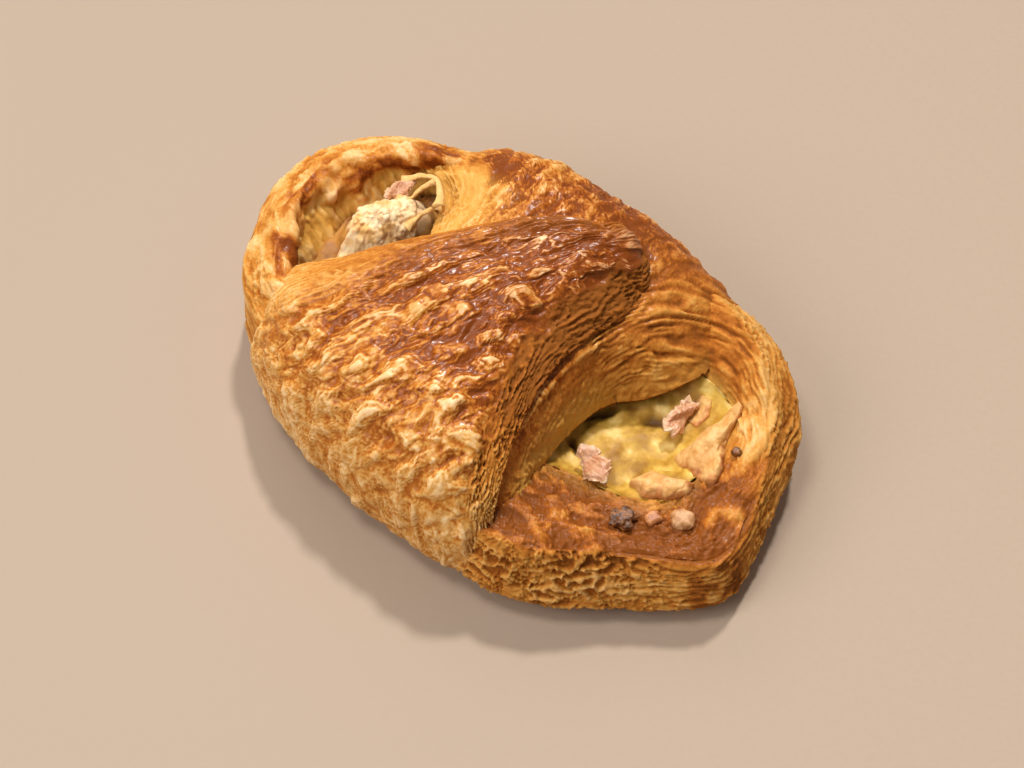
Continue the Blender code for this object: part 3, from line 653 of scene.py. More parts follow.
def over_flap(material):
    p, at = flap_grid(OVER, OVER_GRID)
    x, arc, turn, shown = at["x"], at["arc"], at["turn"], 1 - at["under"]
    ragged = 0.16 * flat_noise(arc, x, 5.0, 3.0, 95) + 0.08 * flat_noise(arc, x, 1.8, 1.5, 96)
    cut_r, cut_l, skin = flap_cuts(at, ragged, 0.3, 0.22)
    side = 1 - smooth(turn, 4, 42)
    relief, edges = skin_field(x - 0.45 * arc, arc, 101)
    fine, fine_edges = skin_field(1.5 * x + 0.3 * arc, 0.66 * arc, 131)
    wrinkle = relief * (1 - 0.7 * side) + fine * (0.3 + 0.3 * side)
    # The shade field, stored as relief, becomes painted light on ridges and lips and painted shade in
    # valleys, cracks and at the plates' feet.
    shade = 0.45 * wrinkle + 0.55 * (edges * (1 - 0.6 * side) + fine_edges * (0.3 + 0.6 * side))
    right_cut = torn_relief(arc, at["right"] * 13.0, 151)
    lines = layer_relief(arc, at["left"] * 12.0, LAYER_STEP, 163)
    pits = pore_relief(arc, at["left"] * 12.0, 2.4, 1.1, 167)
    left_cut = 0.55 * lines + 0.4 * pits * smooth(turn, 60, 20)
    edge = np.exp(-at["from_right"] / 1.5) * shown * (1 - cut_r)
    height = SKIN_DEEP * wrinkle * skin + 0.85 * right_cut * cut_r * shown
    hem = np.exp(-(at["from_left"] / 7.0) ** 2) * skin * smooth(turn, 20, 50)
    hem_lines = layer_relief(arc, at["from_left"] + 0.8 * flat_noise(arc, x, 9.0, 9.0, 173), 1.7, 175)
    height = height * (1 - 0.6 * hem) + 0.6 * hem_lines * hem
    height = height + LAYER_DEEP * left_cut * cut_l * shown + 0.3 * edge
    broad = flat_noise(x, arc, 15.0, 18.0, 171)
    bake = 0.44 + 0.2 * smooth(turn, 24, 84) + 0.07 * broad + 0.1 * smooth(x, -50, 10) * smooth(turn, 60, 120)
    bake = bake - 0.2 * (1 - smooth(turn, -14, 44)) - 0.1 * (1 - smooth(x, -66, -44))
    tip = 0.06 * smooth(turn, 40, 70) + 0.16 * smooth(turn, 100, 130)
    layers = {
        "relief": as_layer(shade) * skin + (1 - skin) * 0.5,
        "cut": unit(cut_r + cut_l + 0.7 * hem),
        "pit": as_layer(-(right_cut * cut_r + left_cut * cut_l + hem_lines * hem)),
        "bake": unit(bake + tip + 0.16 * cut_r * smooth(turn, 10, 60) - 0.1 * cut_l - 0.1 * hem),
        "gloss": unit(skin * (0.3 + 0.7 * smooth(turn, 6, 45))),
        "stain": 0 * x,
    }
    return grid_mesh("over_flap_dough", raised(p, height), layers, material)


def under_flap(material):
    p, at = flap_grid(UNDER, UNDER_GRID)
    x, arc, turn, shown = at["x"], at["arc"], at["turn"], 1 - at["under"]
    far_cut = smooth(turn, 104, 122)
    cut_r, cut_l, skin = flap_cuts(at, 0.16 * flat_noise(arc, x, 5.0, 3.0, 195), 0.25, 0.2)
    relief, edges = skin_field(1.1 * x, arc, 201)
    fine, fine_edges = skin_field(1.9 * x, 1.3 * arc, 211)
    wrinkle = 0.75 * relief + 0.4 * fine
    # The shade field, stored as relief, becomes painted light on ridges and lips and painted shade in
    # valleys, cracks and at the plates' feet.
    shade = 0.45 * wrinkle + 0.4 * edges + 0.3 * fine_edges
    lines = layer_relief(arc, at["left"] * 14.0, 1.9, 221)
    left_cut = 0.5 * lines + 0.55 * pore_relief(arc, at["left"] * 14.0, 3.0, 1.7, 227)
    down = at["right"] * 18.0
    wall = flat_noise(arc, down, 7.0, 3.0, 231) + 0.5 * flat_noise(arc, down, 2.2, 1.4, 233)
    fibre = layer_relief(arc + 1.4 * down, down - 0.5 * arc, 2.4, 235)
    wall = 0.8 * wall + 0.5 * fibre + 0.35 * flat_noise(arc, down, 0.9, 0.8, 237)
    strands = pocket_sweep(p)
    near_edge = np.exp(-(at["from_right"] / 20.0) ** 2) * smooth(turn, 92, 112) * shown
    right_cut = (1 - far_cut) * 0.75 * wall + far_cut * strands
    lip = np.exp(-((at["right"] - 0.04) / 0.05) ** 2) * (1 - far_cut) * (at["right"] > 0)
    height = 0.6 * wrinkle * skin * (1 - 0.7 * near_edge) + 0.8 * strands * skin * near_edge
    height = height + (0.6 * left_cut * cut_l + 0.7 * right_cut * cut_r) * shown + 0.7 * lip
    p = raised(p, height)
    bake = 0.72 - 0.18 * cut_r * (1 - far_cut) + 0.18 * flat_noise(x, arc, 14.0, 16.0, 241)
    bake = bake - 0.3 * smooth(turn, 148, 185)
    bake = bake + (sweep_bake(p) - bake) * unit(near_edge + far_cut * cut_r)
    inner = np.exp(-at["from_left"] / 5.0) * band(turn, 100, 132, 8) * shown
    bake = bake - 0.2 * inner - 0.14 * cut_l + 0.02 * cut_r * (1 - at["right"]) * (1 - far_cut)
    layers = {
        "relief": as_layer(shade) * skin + (1 - skin) * 0.5,
        "cut": unit(cut_l + far_cut * (0.8 * cut_r) + 0.8 * near_edge * skin),
        "pit": as_layer(-(right_cut * cut_r + left_cut * cut_l + strands * near_edge * skin)),
        "bake": unit(bake - 0.3 * lip),
        "gloss": unit(skin * 0.5 + 0.3 * cut_r * (1 - far_cut)),
        "stain": unit(cut_r * (1 - 0.6 * far_cut) * smooth(at["right"], 0.25, 0.85) + 0.5 * inner),
    }
    return grid_mesh("under_flap_dough", p, layers, material)


# Base


def edge_radius(deg):
    """Radius of the base's edge, drawn in where the under flap covers it."""
    return outline_radius(deg) - UNDER_FLAP_INSET * table(deg, UNDER_FLAP, 360)


def base_knots(deg):
    """Section of the base at each direction: underside, outer band, crest, slope, wall and floor."""
    rho = edge_radius(deg)
    crest_z, crest_in, lip_z, lip_in = around(deg, CREST_Z, CREST_IN, LIP_Z, LIP_IN)
    pocket_in, pocket_z = around(deg, POCKET_IN, POCKET_Z)
    zero = 0 * rho
    inner_z = crest_z - CREST_DROP
    foot = rho - pocket_in - WALL_RUN
    knots = [
        (0.45 * (rho - 9.5), zero), (rho - 9.5, zero), (rho - 5.0, zero + 1.0), (rho - 2.2, zero + 3.2),
        (rho - 0.6 * lip_in, np.minimum(7.0, 0.75 * lip_z)), (rho - lip_in, lip_z),
        (rho - crest_in + 1.6, crest_z - 1.0), (rho - crest_in, crest_z),
        (rho - crest_in - CREST_WIDE, inner_z),
        (rho - 0.5 * (crest_in + CREST_WIDE + pocket_in), inner_z - 0.42 * (inner_z - pocket_z)),
        (rho - pocket_in, pocket_z),
        (rho - pocket_in - 0.45 * WALL_RUN, 0.45 * pocket_z + 0.55 * WALL_FOOT_Z),
        (foot, zero + WALL_FOOT_Z), (foot - FLOOR_RUN, zero + FLOOR_Z),
        (0.45 * (foot - FLOOR_RUN), zero + FLOOR_Z),
    ]
    return np.stack([np.stack(k, -1) for k in knots], 1)


def base_grid(deg, count):
    """Rings of the section at each direction, evenly spaced along it, with the knot number and arc length."""
    knots = base_knots(deg)
    rz = np.zeros((len(deg), count + 2, 2))
    knot, arc = np.zeros((2, len(deg), count + 2))
    last = knots.shape[1] - 1
    for i, line in enumerate(knots):
        run = np.concatenate([[0], np.cumsum(np.linalg.norm(np.diff(line, axis=0), axis=1))])
        s = np.concatenate([[0], np.linspace(run[1], run[last - 2], count), [run[last]]])
        rz[i] = np.stack([np.interp(s, run, line[:, 0]), np.interp(s, run, line[:, 1])], -1)
        knot[i] = np.interp(s, run, np.arange(last + 1.0))
        arc[i] = s - run[1]
    rz = soften(rz, 5)
    c, s = np.cos(np.radians(deg))[:, None], np.sin(np.radians(deg))[:, None]
    p = np.stack([rz[..., 0] * c, rz[..., 0] * s, rz[..., 1]], -1)
    shown = band(knot, 3.0, 9.5, 0.8)
    p = p + np.stack([c + 0 * shown, s + 0 * shown, 0.5 + 0 * shown], -1) * (puff(p) * shown)[..., None]
    return p, knot, arc


def spread(start, lo, hi, end):
    """Directions in degrees from start to end, close together between lo and hi, the part that shows."""
    head = np.arange(start, lo, COARSE_STEP)
    shown = np.arange(lo, hi, FINE_STEP)
    tail = np.arange(hi, end + 0.5 * COARSE_STEP, COARSE_STEP)
    return np.concatenate([head, shown, tail])


def base_half(directions, count, radius):
    """Points of one half of the base, with knot number, arc length, direction and way round."""
    deg = spread(*directions)
    p, knot, arc = base_grid(deg, count)
    turn = deg[:, None] + 0 * knot
    return p, knot, arc, turn, np.radians(turn) * radius


def low_end(material):
    """Half of the base round the low end: laminated outside, glossy near slope, stranded far slope."""
    p, knot, arc, d, reach = base_half(*LOW_HALF)
    outer = band(knot, 3.6, 6.0, 0.6)
    top_zone = band(knot, 6.2, 10.2, 0.6) * (1 - 0.6 * outer)
    far = smooth(d, 8, 26)
    side = band(d, -14, 40, 10)
    lines = layer_relief(reach, arc, 2.2, 301)
    fine_lines = layer_relief(reach, arc, 1.25, 307)
    comb = pore_relief(reach, arc, 5.5, 3.0, 311)
    small = pore_relief(reach, arc, 2.3, 1.4, 317)
    where = smooth(flat_noise(reach, arc, 12.0, 7.0, 319) + 0.35 * (1 - side), -0.2, 0.3)
    laminated = where * (0.7 * comb + 0.3 * small) + (1 - where) * (0.5 * lines + 0.4 * small)
    laminated = laminated * (1 - 0.5 * side) + side * (0.35 * fine_lines + 0.25 * lines)
    bulge = np.sin(math.pi * unit((knot - 4.0) / 2.4))
    skin = 0.7 * skin_relief(arc, 0.8 * reach, 341) + 0.4 * skin_relief(1.7 * arc, 1.4 * reach, 343)
    winding = reach + 2.0 * flat_noise(reach, arc, 5.0, 5.0, 346)
    flakes = terrace(flat_noise(winding, arc, 6.5, 4.0, 345), 3.0, 0.1)
    slope_near = 0.9 * skin + 0.9 * flakes + 0.6 * torn_relief(reach, arc, 357)
    top = far * pocket_sweep(p) + (1 - far) * slope_near
    shoulder = np.exp(-((knot - 7.2) / 0.7) ** 2)
    height = (0.9 * laminated + 0.7 * bulge) * outer + (0.9 - 0.1 * far) * top * top_zone
    height = height + shoulder * (0.9 * flat_noise(reach, arc, 6.0, 5.0, 351) - 0.7 * (1 - far))
    height = height + 0.5 * (1 - far) * band(knot, 7.8, 9.0, 0.6)
    p = p + grid_normals(p) * height[..., None]
    burnt = band(d, -10.5, -3.5, 3.0) * outer * smooth(flat_noise(reach, arc, 3.0, 2.5, 347), -0.2, 0.3)
    near_bake = 0.36 + 0.16 * flat_noise(reach, arc, 4.0, 3.0, 355)
    bake = 0.5 + 0.1 * flat_noise(reach, arc, 14.0, 9.0, 349) + near_bake * (1 - far) * top_zone
    bake = bake + (sweep_bake(p) - bake) * far * top_zone
    bake = bake - 0.1 * (1 - smooth(p[..., 2], 1.0, 7.0)) + 0.4 * burnt
    layers = {
        "relief": as_layer(skin),
        "cut": unit(outer + (0.5 + 0.3 * far) * top_zone),
        "pit": as_layer(-(laminated * outer + top * top_zone)),
        "bake": unit(bake),
        "gloss": unit(0.45 * (1 - far) * top_zone),
        "stain": smooth(knot, 9.2, 10.4) * (0.5 + 0.5 * far),
    }
    return grid_mesh("low_end_dough", p, layers, material)


def raised_end(material):
    """Half of the base round the raised end: streaked outside, browned rim and a yellow inner wall."""
    p, knot, arc, _, reach = base_half(*RAISED_HALF)
    outer = band(knot, 3.4, 6.0, 0.5)
    hem = 9.1 + 0.5 * flat_noise(reach, 0 * arc, 7.0, 1.0, 423) + 0.25 * flat_noise(reach, arc, 2.6, 3.0, 425)
    past_hem = smooth(knot - hem, -0.3, 0.25)
    crest = smooth(knot, 5.8, 6.4) * (1 - past_hem)
    inside = past_hem * (1 - smooth(knot, 12.0, 12.6))
    lines = layer_relief(reach, arc, 2.4, 401)
    pits = pore_relief(reach, arc, 2.6, 1.6, 407)
    skin = 0.7 * skin_relief(arc, reach, 411) + 0.45 * skin_relief(1.6 * arc, 1.6 * reach, 413)
    patchy = smooth(flat_noise(reach, arc, 9.0, 8.0, 419), -0.1, 0.4)
    outside = 0.35 * lines + 0.5 * skin + 0.5 * pits * patchy
    grain = 0.7 * skin_relief(1.2 * reach, 0.9 * arc, 431) + 0.5 * skin_relief(2.2 * reach, 2.0 * arc, 433)
    lumpy = flat_noise(reach, arc, 8.0, 6.0, 435) + 0.5 * flat_noise(reach, arc, 3.6, 2.8, 437)
    roll = np.exp(-((knot - hem + 0.7) / 0.55) ** 2)
    tuck = np.exp(-((knot - hem - 0.25) / 0.3) ** 2)
    height = 0.55 * outside * outer + (0.6 * skin + 1.3 * lumpy) * crest
    height = height + (0.6 * grain + 0.9 * lumpy) * inside + 1.5 * roll - 0.9 * tuck
    p = p + grid_normals(p) * height[..., None]
    bake = 0.47 + 0.1 * flat_noise(reach, arc, 12.0, 9.0, 439) + 0.16 * crest * smooth(knot, 6.2, 7.6)
    bake = bake - 0.22 * inside - 0.1 * (1 - smooth(p[..., 2], 1.0, 8.0))
    layers = {
        "relief": as_layer(skin * (1 - inside) + grain * inside),
        "cut": 0.6 * outer,
        "pit": as_layer(-outside),
        "bake": unit(bake),
        "gloss": unit(0.5 * crest + 0.15 * inside),
        "stain": 0.8 * inside,
    }
    return grid_mesh("raised_end_dough", p, layers, material)


# Filling, ham and bits


def within(x, y, spec, reach=1.0):
    """Place in an oval, along it and across it: 1 at its half length and half width times reach."""
    cx, cy, long_half, wide_half, turn = spec[:5]
    c, s = heading(turn)
    u = ((x - cx) * c + (y - cy) * s) / (long_half * reach)
    v = (-(x - cx) * s + (y - cy) * c) / (wide_half * reach)
    return u, v


def melt_height(x, y):
    z = table(x, FILL_LEVEL)
    for lump in MELT_LUMPS:
        u, v = within(x, y, lump)
        share, power, rounding = MOUND_FORM if lump[0] < 0 else LUMP_FORM
        z = z + share * lump[5] * unit(1 - (np.abs(u) ** power + np.abs(v) ** power)) ** rounding
    return z + 0.5 * noise(np.stack([x, y, 0 * x], -1), 7.0, SEED + 5)


def mound_mask(x, y):
    u, v = within(x, y, MELT_LUMPS[0], 0.8)
    return 1 - smooth(np.abs(u) ** 2.6 + np.abs(v) ** 2.6, 0.6, 1.15)


def hollow_mask(x, y, hollow):
    u, v = within(x, y, hollow)
    v = v + 0.5 * flat_noise(x, y, 1.6, 1.6, 509)
    return np.exp(-(u**4) - v**2)


def filling_surface(x, y, rise, rim_z):
    """The sauce's upper side: lumps, hollows and shreds, drawn up to the dough at its edge."""
    z = melt_height(x, y)
    z = z + (np.maximum(rim_z, z) - z) * rise
    q = np.stack([x, y, 0 * x], -1)
    shred = flat_noise(x + 1.2 * noise(q, 3.0, 501), y + 1.2 * noise(q, 3.5, 502), 2.6, 4.0, 503)
    z = z + 0.5 * smooth(x, -25, -40) * flat_noise(x, y, 1.7, 1.5, 507)
    z = z + 0.16 * shred + 0.06 * flat_noise(x, y, 1.1, 1.3, 505) + 0.7 * flat_noise(x, y, 4.5, 4.5, 504)
    for hollow in HOLLOWS:
        z = z - hollow[5] * hollow_mask(x, y, hollow)
    return z


def filling(material):
    """Cheese sauce that runs through, with melted cheese standing up at both ends."""
    deg = np.arange(0.0, 360.0, 1.0)
    pocket_in, pocket_z = around(deg, POCKET_IN, POCKET_Z)
    wall = edge_radius(deg) - pocket_in
    edge, rim_z, zero = wall - 0.3, pocket_z - 0.3, 0 * wall
    c, s = np.cos(np.radians(deg)), np.sin(np.radians(deg))
    low = [
        (0.45 * (wall - WALL_RUN - FLOOR_RUN), zero + FLOOR_Z + GAP),
        (wall - WALL_RUN - FLOOR_RUN - 0.4, zero + FLOOR_Z + GAP),
        (wall - WALL_RUN - 1.2, zero + WALL_FOOT_Z + 0.2),
        (wall - 0.45 * WALL_RUN - 1.3, 0.45 * pocket_z + 0.55 * WALL_FOOT_Z),
        (edge, rim_z),
    ]
    rows = [np.stack([r * c, r * s, z], -1) for r, z in low]
    for f in np.linspace(0.995, 0.01, FILLING_ROWS):
        r = edge * f
        x, y = r * c, r * s
        rise = np.exp(-(edge - r) / FILL_EDGE_RUN)
        rows.append(np.stack([x, y, filling_surface(x, y, rise, rim_z)], -1))
    p = np.stack(rows, 0)
    x, y = p[..., 0], p[..., 1]
    px, py, reach = BROWN_PATCH
    brown = np.exp(-((x - px) ** 2 + (y - py) ** 2) / reach**2)
    layers = {
        "creamy": 0 * x, "browned": 0.2 * brown, "low": smooth(x, 0, 25), "pale": 0.8 * mound_mask(x, y),
        # dark: painted shade in the hollows
        "dark": np.maximum.reduce([hollow_mask(x, y, hollow) for hollow in HOLLOWS]),
    }
    return grid_mesh("cheese_filling", p, layers, material)


def sheet_outline(points, rough, seed):
    """Middle of a melted sheet, directions round it, and a softened uneven radius in each of them."""
    q = np.array(points, float)
    after = np.roll(q, -1, 0)
    share = np.linspace(0, 1, 12, endpoint=False)[None, :, None]
    cross = q[:, 0] * after[:, 1] - after[:, 0] * q[:, 1]
    mid = ((q + after) * cross[:, None]).sum(0) / (3 * cross.sum())
    q = (q[:, None] * (1 - share) + after[:, None] * share).reshape(-1, 2) - mid
    angle = np.arctan2(q[:, 1], q[:, 0])
    order = np.argsort(angle)
    angle, far = angle[order], np.hypot(*q[order].T)
    way = np.linspace(-math.pi, math.pi, SHEET_DIRECTIONS, endpoint=False)
    closed = np.concatenate([angle - 2 * math.pi, angle, angle + 2 * math.pi])
    radius = np.interp(way, closed, np.tile(far, 3))
    for _ in range(4):
        radius = 0.5 * radius + 0.25 * (np.roll(radius, 1) + np.roll(radius, -1))
    return mid, way, radius + 0.35 * rough * flat_noise(way * radius.mean(), 0 * way, 2.0, 1.0, seed)


def cheese_sheet(name, spec, seed, ground_at, material):
    """Melted cheese draped over what lies below it, with a rounded rim along its outline."""
    points, thick, rim_run, rough = spec
    mid, way, radius = sheet_outline(points, rough, seed)
    f = np.linspace(0.02, 1.0, SHEET_RINGS)[:, None] ** 0.8
    x, y = mid[0] + f * radius * np.cos(way), mid[1] + f * radius * np.sin(way)
    ground = ground_at(x, y)
    for _ in range(6):
        ground = 0.5 * ground + 0.25 * (np.roll(ground, 1, 1) + np.roll(ground, -1, 1))
        ground[1:-1] = 0.5 * ground[1:-1] + 0.25 * (ground[:-2] + ground[2:])
    edge = unit((1 - f) * radius / rim_run)
    body = thick * np.sqrt(1 - (1 - edge) ** 2) * (0.9 + 0.3 * flat_noise(x, y, 5.0, 4.0, seed + 1))
    lump = 0.7 * flat_noise(x, y, 2.6, 2.2, seed + 2) + 0.35 * flat_noise(x, y, 1.2, 1.0, seed + 3)
    lump = lump + 0.16 * flat_noise(x, y, 0.6, 0.6, seed + 4)
    top = np.stack([x, y, ground + body + 0.6 * rough * lump * (0.3 + 0.7 * edge)], -1)
    curd = 0.6 * noise(top, 3.2, seed + 6) + 0.4 * np.abs(noise(top, 1.7, seed + 7))
    curd = curd + 0.2 * noise(top, 0.8, seed + 8)
    top = top + grid_normals(top) * (0.8 * rough * curd)[..., None]
    bottom = np.stack([x, y, ground - 0.8], -1)
    outer_side = smooth((x - mid[0]) * np.sign(mid[0]) - 0.4 * (y - mid[1]), -2.0, 3.0)
    rim = 1 - smooth(edge + 0.5 * flat_noise(x, y, 2.0, 2.0, seed + 5), 0.02, 0.6)
    right = 1.0 * (x > 0)
    layers = {
        "creamy": 1 + 0 * x, "browned": rim * (0.25 + 0.75 * outer_side) * right,
        "low": right, "dark": 0 * x, "pale": 1.0 * (x < 0),
    }
    layers = {key: np.concatenate([value, value[::-1]], 0) for key, value in layers.items()}
    return grid_mesh(name, np.concatenate([top, bottom[::-1]], 0), layers, material)


def thread(name, spec, seed, material):
    """Soft dough drawn out into a thread through its points."""
    points, thick = spec
    q = np.array(points, float)
    t = np.linspace(0, len(q) - 1, THREAD_RINGS)
    path = np.stack([table(t, tuple(enumerate(q[:, k]))) for k in range(3)], -1)
    along = np.gradient(path, axis=0)
    along /= np.linalg.norm(along, axis=1, keepdims=True)
    side = np.cross(along, np.array([0.0, 0.0, 1.0]))
    side /= np.linalg.norm(side, axis=1, keepdims=True)
    up = np.cross(side, along)[:, None, :]
    a = np.linspace(0, 2 * math.pi, THREAD_SIDES, endpoint=False)[None, :]
    c, s, f = np.cos(a), np.sin(a), np.linspace(0, 1, THREAD_RINGS)[:, None] + 0 * a
    q = np.stack([40 * f, 3 * c + 0 * f, 3 * s + 0 * f], -1)
    uneven = 0.4 * noise(q, 5.0, seed) + 0.12 * noise(q, 1.6, seed + 1)
    radius = thick * (0.8 + uneven + 1.1 * (2 * f - 1) ** 4)
    round_path = c[..., None] * side[:, None, :] + 0.8 * s[..., None] * up
    grain = noise(q, 2.0, seed + 2)
    layers = {
        "relief": 0.5 + 0.3 * grain, "pit": 0.4 + 0.2 * grain, "bake": 0.16 + 0.12 * grain,
        "cut": 0.3 + 0 * f, "gloss": 0.2 + 0 * f, "stain": 0.4 + 0 * f,
    }
    return grid_mesh(name, path[:, None, :] + radius[..., None] * round_path, layers, material)


def ham_rows(spec, ground_at):
    """Underside and upper side of a thin wavy slice that rests on what lies below it."""
    cx, cy, length, width, thick, direction, tilt, curl = spec
    halves = (np.linspace(-0.5, 0.5, count) for count in HAM_GRID)
    u, v = np.meshgrid(*halves, indexing="ij")
    trim = 1 - 0.35 * (2 * np.abs(u)) ** 3
    ragged = 0.5 * flat_noise(u * 20, v * 0, 1.3, 1.0, 601) * (2 * np.abs(v)) ** 3
    a = u * length + 0.9 * np.sin(6 * v + 2 * u + direction)
    b = v * width * trim * (1 + 0.2 * np.sin(8 * u + direction)) + ragged
    wave = curl * (4 * u * u - 0.4) + 0.5 * np.sin(9 * u + 4 * v)
    ch, sh = heading(direction)
    ct, st = heading(tilt)
    x = cx + a * ch - (b * ct - wave * st) * sh
    y = cy + a * sh + (b * ct - wave * st) * ch
    lift = b * st + wave * ct
    ground = ground_at(x, y)
    low = float(np.max(ground - lift)) + HAM_LIFT
    bottom = np.stack([x, y, np.maximum(low + lift, ground + HAM_LIFT)], -1)
    edge = np.minimum(1 - 2 * np.abs(u), 1 - 2 * np.abs(v))
    fat = thick * (0.35 + 0.65 * smooth(edge, 0.0, 0.4)) + 0.12 * flat_noise(u * 30, v * 20, 1.5, 1.5, 607)
    return bottom, bottom + np.array([st * sh, -st * ch, ct]) * fat[..., None], edge


def surface_reader(*objects):
    """Height of the objects' upper surface seen from above, millimetres."""
    trees = []
    for obj in objects:
        corners = [vertex.co[:] for vertex in obj.data.vertices]
        trees.append(BVHTree.FromPolygons(corners, [tuple(face.vertices) for face in obj.data.polygons]))

    def read(x, y):
        out = np.zeros_like(x)
        for k in np.ndindex(x.shape):
            at = ((x[k] + SHIFT[0]) * MM, (y[k] + SHIFT[1]) * MM, 0.1)
            hits = [tree.ray_cast(at, (0, 0, -1))[0] for tree in trees]
            out[k] = max(hit[2] / MM if hit else 0.0 for hit in hits)
        return out

    return read


def ham_piece(name, spec, ground_at, material):
    bottom, top, edge = ham_rows(spec, ground_at)
    rim = np.concatenate([edge, edge[:, ::-1]], 1)
    rows = np.concatenate([top, bottom[:, ::-1]], 1)
    return grid_mesh(name + "_meat", rows, {"rim": 1 - smooth(rim, 0.0, 0.3)}, material)


def rim_height(x, y):
    """Height of the dough's slope from the crest down to the pocket."""
    deg = math.degrees(math.atan2(y, x))
    crest_in, crest_z, pocket_in, pocket_z = map(float, around(deg, CREST_IN, CREST_Z, POCKET_IN, POCKET_Z))
    inset = float(outline_radius(deg)) - math.hypot(x, y)
    start, high = crest_in + CREST_WIDE, crest_z - CREST_DROP
    f = min(max((inset - start) / (pocket_in - start), 0.0), 1.0)
    return high + (pocket_z - high) * f


def rim_bit(name, spec, form, seed, material):
    """A browned bit sunk into the rim: a rounded block with a rough skin."""
    cx, cy, size, turn = spec
    scale, high, rough_deep, rough_size = form
    c, s = heading(turn)
    lat = np.linspace(-0.5, 0.5, BIT_GRID[0])[:, None] * math.pi
    a = np.linspace(0, 2 * math.pi, BIT_GRID[1], endpoint=False)[None, :]
    ca, sa = np.cos(a), np.sin(a)
    square = (np.abs(ca) ** 3 + np.abs(sa) ** 3) ** (-1 / 3) + 0 * lat
    r = 0.5 * (size * scale) * square * np.cos(lat) ** 0.5
    x, y, z = r * ca, 0.82 * r * sa, 0.5 * high * np.sin(lat) + 0 * a
    q = np.stack([x, y, z + 9 * seed], -1)
    plan = 1 + 0.14 * flat_noise(3 * ca + 0 * lat, 3 * sa + 0 * lat, 1.6, 1.6, 705 + seed)
    rough = terrace(noise(q, 2.2 * rough_size, 700 + seed), 2.5, 0.2) + 0.8 * noise(q, rough_size, 710 + seed)
    rough = 1 + rough_deep * rough
    x, y, z = x * plan * rough, y * plan * rough, z * rough
    z = z + 0.5 * rough_deep * noise(q, rough_size, 715 + seed)
    p = np.stack([cx + x * c - y * s, cy + x * s + y * c, rim_height(cx, cy) + RIM_BIT_LIFT + z], -1)
    return grid_mesh(name, p, {"rim": noise(q, 1.2, 720 + seed)}, material)


# Materials


class Nodes:
    """Short calls for building one material's node tree; a value may be a number, a colour or a link."""

    def __init__(self, name):
        self.mat = bpy.data.materials.new(name)
        self.mat.use_nodes = True
        self.tree = self.mat.node_tree
        self.shader = self.tree.nodes["Principled BSDF"]
        self.place = self.tree.nodes.new("ShaderNodeTexCoord").outputs["Object"]

    def link(self, source, target):
        if isinstance(source, (int, float)):
            target.default_value = source
        elif isinstance(source, tuple):
            target.default_value = (*source, 1.0)
        else:
            self.tree.links.new(source, target)

    def feed(self, node, values):
        """Sets or links a node's inputs; _ in a name stands for a space."""
        for key, value in values.items():
            self.link(value, node.inputs[key.replace("_", " ")])

    def node(self, kind, **values):
        node = self.tree.nodes.new("ShaderNode" + kind)
        self.feed(node, values)
        return node

    def attribute(self, name):
        node = self.node("Attribute")
        node.attribute_name = name
        return node.outputs["Fac"]

    def noise(self, size_mm, detail=3.0, rough=0.6, stretch=None):
        place = self.place
        if stretch:
            mapping = self.node("Mapping", Vector=place)
            mapping.inputs["Scale"].default_value = stretch
            place = mapping.outputs["Vector"]
        scale = 1000.0 / size_mm
        return self.node("TexNoise", Vector=place, Scale=scale, Detail=detail, Roughness=rough).outputs["Fac"]

    def math(self, kind, a, b):
        node = self.node("Math")
        node.operation = kind
        self.link(a, node.inputs[0])
        self.link(b, node.inputs[1])
        return node.outputs[0]

    def times(self, a, b):
        return self.math("MULTIPLY", a, b)

    def plus(self, total, *terms):
        for term in terms:
            total = self.math("ADD", total, term)
        return total

    def ramp(self, source, stops):
        node = self.node("ValToRGB", Fac=source)
        ramp = node.color_ramp
        while len(ramp.elements) < len(stops):
            ramp.elements.new(0.5)
        for element, (place, colour) in zip(ramp.elements, stops):
            element.position = place
            element.color = (*srgb(*colour), 1.0)
        return node.outputs["Color"]

    def level(self, source, lo, hi, out_lo=0.0, out_hi=1.0):
        node = self.node("MapRange", Value=source, From_Min=lo, From_Max=hi, To_Min=out_lo, To_Max=out_hi)
        return node.outputs["Result"]

    def mix(self, factor, a, b):
        node = self.node("Mix")
        node.data_type = "RGBA"
        self.link(factor, node.inputs["Factor"])
        self.link(a, node.inputs[6])
        self.link(b, node.inputs[7])
        return node.outputs[2]

    def bump(self, height, distance_mm, strength, normal=None):
        node = self.node("Bump", Height=height, Distance=distance_mm * MM, Strength=strength)
        if normal is not None:
            self.link(normal, node.inputs["Normal"])
        return node.outputs["Normal"]

    def finish(self, **values):
        self.feed(self.shader, values)
        return self.mat


def srgb(r, g, b):
    """Linear colour from 0 to 255 values."""
    return tuple((c / 255 / 12.92) if c <= 10 else ((c / 255 + 0.055) / 1.055) ** 2.4 for c in (r, g, b))


# From raw dough to burnt: share of baking and colour
CRUST = (
    (0.0, (238, 204, 152)), (0.2, (226, 178, 116)), (0.4, (208, 150, 76)), (0.56, (190, 120, 46)),
    (0.74, (160, 84, 22)), (0.9, (124, 58, 12)), (1.0, (92, 42, 8)),
)
# Sauce colours of the low pocket, darkened as painted shade of the sunk pocket
SAUCE = ((0.32, (150, 104, 32)), (0.44, (176, 130, 44)), (0.56, (206, 162, 68)), (0.68, (234, 200, 120)))
DARKEST_CRUST = 0.92
SHEEN_TINT = (1.0, 0.84, 0.68)


